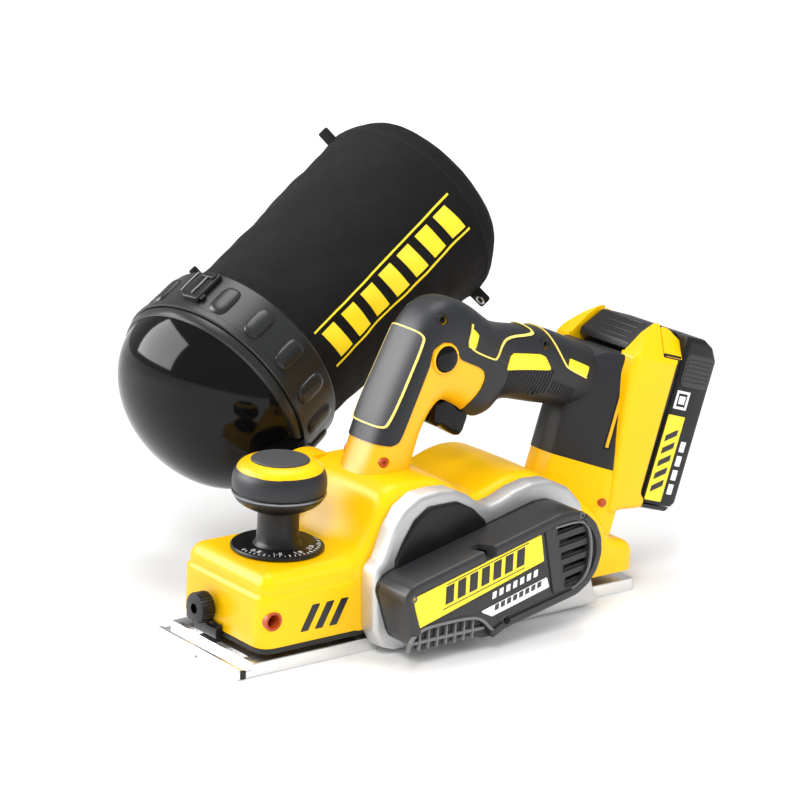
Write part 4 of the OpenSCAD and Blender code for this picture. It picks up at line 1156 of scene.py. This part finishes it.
def bump_at(angle, s0=6.5, s1=30, w=6.2, h=2.9):
    """A pill-shaped bump: height falls as a superellipse of the distance from its middle line."""
    u = np.linspace(-1, 1, 15)
    t = np.linspace(0, PI, 11)
    rings = []
    for k in u:
        wide = w * max(1 - abs(k) ** 4, 0.0008) ** 0.5
        tall = h * max(1 - abs(k) ** 6, 0.0008) ** 0.5
        a = math.radians(angle) + wide * np.cos(t) / 65
        r = 64.2 + tall * np.sin(t) ** 0.6
        ring = np.stack([r * np.cos(a), r * np.sin(a), np.full(11, (s0 + s1) / 2 + k * (s1 - s0) / 2)], 1)
        rings.append(ring)
    return in_bag(loft(np.array(rings)))


add("collar_ring", *collar(), collar_black, "bag", "black_gloss", ["bag_collar"])
add("collar_bumps", *join(*[bump_at(-163 + 22.5 * k) for k in range(16) if k != 15]), collar_black, "bag",
    "black_gloss", ["bag_collar"],
    crease=50)


def turned(shape, angle):
    """Turns a shape in the bag's axes about the bag's axis, then takes it to the frame."""
    v, f = shape
    v = np.asarray(v, float)
    c, s = math.cos(math.radians(angle)), math.sin(math.radians(angle))
    return in_bag((np.stack([v[:, 0] * c - v[:, 1] * s, v[:, 0] * s + v[:, 1] * c, v[:, 2]], 1), f))


clip = [turned(block((64.5, 68.2), (-6.4, 6.4), (9, 33), 1.0, 2), 180),
        turned(block((65, 67.2), (-8.5, 8.5), (11, 15), 0.6, 1), 180),
        turned(block((67, 69.6), (-5, 5), (27, 31), 0.8, 1), 180)]
wire = [turned(sweep([(68.4, y, s) for y, s in loop], 0.8, 8, (1, 0, 0)), 176) for loop in
        ([(-4.5, 12), (-4.8, 20), (-4.6, 30)], [(4.5, 12), (4.8, 20), (4.6, 30)])]
add("collar_clip", *join(*clip), plain_black, "bag", "black_plastic", ["bag_clip"])
add("collar_wire", *join(*wire), dark_steel, "bag", "black_plastic", ["bag_clip"])

BAG_START, BAG_SEAM, BAG_LEAN = 14.0, 188.0, math.radians(2.4)
BULGE = 25.2                              # height of the end panel past its seam


def in_sack(shape):
    """The sagging bag's axes: turned by 45 degrees, tipped by the lean, turned back, then as in_bag."""
    v, f = shape
    v = np.asarray(v, float)
    h = math.sqrt(0.5)
    x, y = (v[..., 0] - v[..., 1]) * h, (v[..., 0] + v[..., 1]) * h
    x, z = x * math.cos(BAG_LEAN) + v[..., 2] * math.sin(BAG_LEAN), v[...,
        2] * math.cos(BAG_LEAN) - x * math.sin(BAG_LEAN)
    return in_bag((np.stack([(x + y) * h, (y - x) * h, z], -1).reshape(-1, 3), f))


def cloth_r(s, a):
    """Radius of the cloth: a cone less soft folds, each a rectified sine that runs slantwise and fades at the
    hems."""
    k = np.clip((s - 38) / 26, 0, 1) * np.clip((BAG_SEAM - s) / 16, 0, 1)
    k = k * k * (3 - 2 * k)
    folds = (1.0 * np.abs(np.sin(2.5 * a + 0.021 * s + 0.4)) ** 3
             + 0.8 * np.abs(np.sin(4 * a - 0.035 * s + 1.9)) ** 4)
    folds += 0.7 * np.abs(np.sin(1.5 * a + 0.052 * s + 2.2)) ** 6 + 0.35 * np.sin(0.16 * s + 3 * np.sin(a)) ** 2
    pucker = 0.28 * (1 + np.sin(46 * a)) * np.exp(-((s - 41) / 5.0) ** 2)
    hem = 0.2 * (1 + np.sin(38 * a + 1)) * np.exp(-((s - BAG_SEAM + 5) / 4.5) ** 2)
    return np.interp(s, [BAG_START, 36, BAG_SEAM], [57.8, 58.0, 66.1]) - k * folds - pucker - hem


def cloth_point(s, a, lift=0.0):
    """A point of the cloth before it is placed, moved out by lift."""
    s, a = np.broadcast_arrays(np.asarray(s, float), np.asarray(a, float))
    r = cloth_r(s, a) + lift
    return np.stack([r * np.cos(a), r * np.sin(a), s], -1)


def bag_cloth():
    """A flared tube closed by a bulging end panel, a superellipse of power 3 with soft dents; one face thick
    at first."""
    n, rows, cap = 288, 160, 48
    a = np.linspace(0, 2 * PI, n, endpoint=False)
    s = np.linspace(BAG_START, BAG_SEAM, rows)
    t = np.linspace(0, PI / 2, cap)[1:, None]
    edge = cloth_r(np.full(n, BAG_SEAM), a)[None]
    dent = (1 - 0.035 * np.sin(2 * t) * np.abs(np.sin(2.5 * a[None] + 1.2)) ** 4
            - 0.02 * np.sin(2 * t) * np.abs(np.sin(4 * a[None])) ** 3)
    r = np.maximum(edge * np.cos(t) ** (2 / 3) * dent, 0.04)
    rise = BULGE * np.sin(t) ** (2 / 3) - 2.2 * np.sin(t) ** 6 * (0.6 + 0.4 * np.sin(3 * a[None]) * np.cos(t))
    end = np.stack([r * np.cos(a), r * np.sin(a), BAG_SEAM + rise], -1)
    grid = np.concatenate([cloth_point(s[:, None], a[None]), end])
    q, j = np.meshgrid(np.arange(len(grid) - 1), np.arange(n), indexing="ij")
    p, w = q * n + j, q * n + (j + 1) % n
    quads = np.stack([p, w, w + n, p + n], -1).reshape(-1, 4)
    along = np.concatenate([s, BAG_SEAM + np.linspace(0, 1, cap)[1:] * 80])
    uv = np.stack([np.broadcast_to(a[None] * 62 * MM, (len(along), n)), np.broadcast_to(along[:, None] * MM,
        (len(along), n))], -1)
    u = uv.reshape(-1, 2)[quads.reshape(-1)]
    last = np.repeat((quads % n == n - 1).any(1) & (quads % n == 0).any(1), 4)
    u[last & (quads % n == 0).reshape(-1), 0] += 2 * PI * 62 * MM
    return grid.reshape(-1, 3), quads.tolist(), u


def cloth_finish(name, colour):
    """Woven cloth: two sets of threads half a pitch apart, over and under, with slubs and a dusty bloom."""
    f = Finish(name, colour, 0.86, Specular_IOR_Level=0.18)
    u, v, _ = f.axes(f.uv())
    a, b = (u * 5200).sin(), (v * 5200).sin()
    weave = (a.abs() * ((u * 2600).sin() * (v * 2600).sin() > 0)
             + b.abs() * ((u * 2600).sin() * (v * 2600).sin() < 0))
    slub, bloom = f.noise(7, 5, stretch=(1, 1, 3)), f.noise(46, 4)
    # partly painted shade: the weave term lightens each thread's crown and darkens the gaps between threads; the
    # bloom noise is random dusty tone
    f.put("Base Color", f.mix((bloom * 0.7 + weave * 0.3).clamp(), shade(colour, 0.75), shade(colour, 1.7)))
    f.put("Roughness", 0.76 + slub * 0.18)
    return f.bump(weave + slub * 1.5, 0.22)


fabric = cloth_finish("bag_weave", (0.0075, 0.0075, 0.008))
tape = cloth_finish("bag_tape", (0.011, 0.011, 0.012))
cloth_v, cloth_f, cloth_uv = bag_cloth()
me = bpy.data.meshes.new("bag_cloth")
me.from_pydata((in_sack((cloth_v, None))[0] * MM).tolist(), [], cloth_f)
layer = me.uv_layers.new(name="threads")
layer.data.foreach_set("uv", cloth_uv.astype(np.float32).ravel())
bag_skin = bpy.data.objects.new("bag_cloth", me)
bpy.context.scene.collection.objects.link(bag_skin)
thick = bag_skin.modifiers.new("thickness", "SOLIDIFY")
thick.thickness, thick.offset = 0.9 * MM, -1
dress(bag_skin, fabric, "bag", ["dust_bag"], 60)


def patch(left, right, lift, m=5):
    """A thin print or tape on the cloth between two lines given as (place along, angle in degrees)."""
    k = np.linspace(0, 1, m)[:, None]
    rings = []
    for a, b in zip(np.asarray(left, float), np.asarray(right, float)):
        p = a + (b - a) * k
        s, ang = p[:, 0], np.radians(p[:, 1])
        rings.append(np.concatenate([cloth_point(s, ang, lift), cloth_point(s, ang, -0.3)[::-1]]))
    v, f = loft(np.array(rings))
    return in_sack((v, f))


def line_between(p, q, n=24):
    """n even points on a straight line: p + (q - p) t with t from 0 to 1."""
    return np.asarray(p, float) + (np.asarray(q, float) - np.asarray(p, float)) * np.linspace(0, 1, n)[:,
        None]


def border(p, q):
    """A narrow printed line on the cloth from p to q."""
    p, q = np.array(p), np.array(q)
    return patch(line_between(p - (0, 0.6), q - (0, 0.6), 70), line_between(p + (0, 0.6), q + (0, 0.6), 70),
                 0.32, 3)


def between(s, k):
    """A place on the cloth at s, a share k of the way from the upper border line to the lower one."""
    return s, (1 - k) * np.interp(s, [46, 180], [-116, -123.5]) + k * np.interp(s, [49, 180], [-90, -100.5])


bars = []
for i in range(7):
    s0 = 50 + 18.6 * i
    bars.append(patch(line_between(between(s0, 0.13), between(s0 + 4.5, 0.89)),
                      line_between(between(s0 + 11.5, 0.13), between(s0 + 16.0, 0.89)), 0.34, 8))
add("bag_print_bars", *join(*bars), label_yellow, "bag", "yellow_plastic")
add("bag_print_lines", *join(border((46, -116), (180, -123.5)), border((49, -90), (180, -100.5))),
    label_yellow, "bag", "yellow_plastic")


def hoop(s, r, thick_mm, n=160):
    """A round cord that follows the cloth all the way round at one place along the bag."""
    a = np.linspace(0, 2 * PI, n, endpoint=False)
    q = np.linspace(0, 2 * PI, 8, endpoint=False)
    base = cloth_r(np.full(n, float(s)), a) + r
    rr = base[None] + thick_mm * np.cos(q)[:, None]
    zz = s + thick_mm * np.sin(q)[:, None] + 0 * rr
    v, f = torus(np.stack([rr * np.cos(a), rr * np.sin(a), zz], -1))
    return in_sack((v, f))


seam_line = patch(line_between((40, 58.5), (187, 58.5), 90), line_between((40, 60.5), (187, 60.5), 90), 0.5,
                  4)
stitches = [patch(line_between((s, 57.2), (s + 2.2, 57.2), 3), line_between((s, 57.7), (s + 2.2, 57.7), 3),
                  0.55, 3) for s in np.arange(42, 185, 4)]
seams = add("bag_seams", *join(hoop(BAG_SEAM, -0.75, 1.1), hoop(40, -0.5, 0.7), hoop(49, -0.45, 0.5),
                               hoop(BAG_SEAM - 9, -0.5, 0.45), seam_line, *stitches), tape, "bag",
            "bag_fabric", crease=60)


def sack_turned(shape, angle):
    """Turns a shape about the sagging bag's own axis, then takes it to the frame."""
    v, f = shape
    v = np.asarray(v, float)
    c, s = math.cos(math.radians(angle)), math.sin(math.radians(angle))
    return in_sack((np.stack([v[:, 0] * c - v[:, 1] * s, v[:, 0] * s + v[:, 1] * c, v[:, 2]], 1), f))


tabs = add("bag_tabs", *join(
    sack_turned(block((63, 75), (-5, 5), (184.5, 187.5), 1.0, 1.6), 140),
    sack_turned(block((57, 65), (-3.5, 3.5), (45, 48), 0.8, 1.2), 141),
    sack_turned(block((63, 76), (-6, 6), (184.5, 187.5), 1.0, 2.5), -44)), tape, "bag", "bag_fabric",
    crease=60)
loop_a = np.linspace(0, 2 * PI, 30, endpoint=False)
eyelet = [np.stack([72 + (2.6 + 0.7 * math.cos(q)) * np.cos(loop_a),
                    (2.6 + 0.7 * math.cos(q)) * np.sin(loop_a),
                    187.4 + 0.7 * math.sin(q) + 0 * loop_a], 1) for q in np.linspace(0, 2 * PI, 8,
                        endpoint=False)]
under = [ring * (1, 1, 0) + (0, 0, 2 * 186.0) - ring * (0, 0, 1) for ring in eyelet]
add("bag_eyelet", *join(sack_turned(torus(np.array(eyelet)), -44), sack_turned(torus(np.array(under)), -44)),
    steel, "bag", "bag_fabric")


# ---------------------------------------------------------------- the CAD nodes that stay
INSIDE = {"dock_terminals": plain_black, "chip_duct": plain_black, "motor_frame": steel,
          "motor_stator": copper,
          "motor_bearings": steel, "drum_bearings": steel, "controller_module": board_green,
          "switch_module": plain_black,
          "drive_belt": belt_black, "spindle_bush": brass, "guide_sleeves": plain_black,
          "depth_spring": steel,
          "cutter_drum": milled_alloy, "drum_blades": steel, "blade_clamps": steel,
          "clamp_screws": dark_steel,
          "drum_pulley": milled_alloy, "motor_rotor": steel, "cooling_fan": plain_black,
          "motor_pulley": milled_alloy,
          "depth_spindle": steel, "battery_cells": cell_blue}
for node, finish in INSIDE.items():
    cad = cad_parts[node]
    cad.data.materials.clear()
    cad.data.materials.append(finish.mat)

# ---------------------------------------------------------------- stage, light and camera
world = bpy.data.worlds.new("studio")
bpy.context.scene.world = world
world.use_nodes = True
tree = world.node_tree
tree.nodes["Background"].inputs["Color"].default_value = (1, 1, 1, 1)
rays = tree.nodes.new("ShaderNodeLightPath")
level = tree.nodes.new("ShaderNodeMath")
level.operation = "MULTIPLY_ADD"
# 1.0 where it is seen, 0.48 as light
level.inputs[1].default_value, level.inputs[2].default_value = 0.52, 0.48
tree.links.new(rays.outputs["Is Camera Ray"], level.inputs[0])
tree.links.new(level.outputs[0], tree.nodes["Background"].inputs["Strength"])
bpy.context.scene.view_settings.view_transform = "Standard"

floor_f = Finish("floor_paper", (0.93, 0.93, 0.93), 0.7)
floor_f.put("Roughness", 0.66 + floor_f.noise(40, 3) * 0.08)
far_x, far_y, _ = floor_f.axes()
# painted light: the floor glows more with the square of its distance from the middle, so it fades to white far
# off
far = ((far_x * far_x + far_y * far_y) * 0.30 - 0.12).clamp() * 0.75
floor_f.put("Emission Color", floor_f.mix(far, (0, 0, 0), (1, 1, 1)))
floor_f.shader.inputs["Emission Strength"].default_value = 1.0
floor_me = bpy.data.meshes.new("floor")
floor_me.from_pydata([(-6, -6, 0), (6, -6, 0), (6, 6, 0), (-6, 6, 0)], [], [(0, 1, 2, 3)])
floor_me.materials.append(floor_f.mat)
floor = bpy.data.objects.new("floor", floor_me)
bpy.context.scene.collection.objects.link(floor)


def softbox(name, at, aim, size, power, seen=True, lights=True):
    """A rectangular area light that faces a point: its -Z axis lies along aim - at."""
    data = bpy.data.lights.new(name, "AREA")
    data.shape, data.size, data.size_y, data.energy = "RECTANGLE", size[0], size[1], power
    ob = bpy.data.objects.new(name, data)
    ob.visible_glossy, ob.visible_diffuse = seen, lights
    back = np.array(at, float) - np.array(aim, float)
    back /= np.linalg.norm(back)
    side = np.cross((0, 0, 1), back)
    side /= np.linalg.norm(side)
    m = np.eye(4)
    m[:3, 0], m[:3, 1], m[:3, 2], m[:3, 3] = side, np.cross(back, side), back, at
    ob.matrix_world = Matrix(m)
    bpy.context.scene.collection.objects.link(ob)


softbox("key_light", (-1.1, -0.95, 1.45), (-0.1, 0, 0.1), (0.7, 0.7), 25, False)
softbox("fill_light", (0.7, -1.3, 0.9), (-0.05, 0, 0.1), (0.9, 0.6), 10, False)
softbox("top_light", (0.1, 0.3, 1.6), (-0.05, 0, 0.1), (1.0, 1.0), 14)
softbox("window_light", (-0.88, 0.64, 0.58), (-0.16, 0.10, 0.13), (1.0, 0.8), 26, True, False)
softbox("front_light", (-0.88, 0.64, 0.58), (-0.16, 0.10, 0.13), (1.0, 0.62), 6, False)

AZ, EL, ROLL = math.radians(-38.5), math.radians(16.08), math.radians(2.67)
back = np.array([math.sin(AZ) * math.cos(EL), -math.cos(AZ) * math.cos(EL), math.sin(EL)])
right = np.array([math.cos(AZ), math.sin(AZ), 0])
upward = np.cross(back, right)
c, s = math.cos(ROLL), math.sin(ROLL)
m = np.eye(4)
m[:3, 0], m[:3, 1], m[:3, 2] = c * right + s * upward, -s * right + c * upward, back
m[:3, 3] = (-1.1508, -1.3479, 0.6292)
camera_data = bpy.data.cameras.new("camera")
camera_data.lens, camera_data.sensor_width = 139.08, 36
camera = bpy.data.objects.new("camera", camera_data)
camera.matrix_world = Matrix(m)
bpy.context.scene.collection.objects.link(camera)
bpy.context.scene.camera = camera
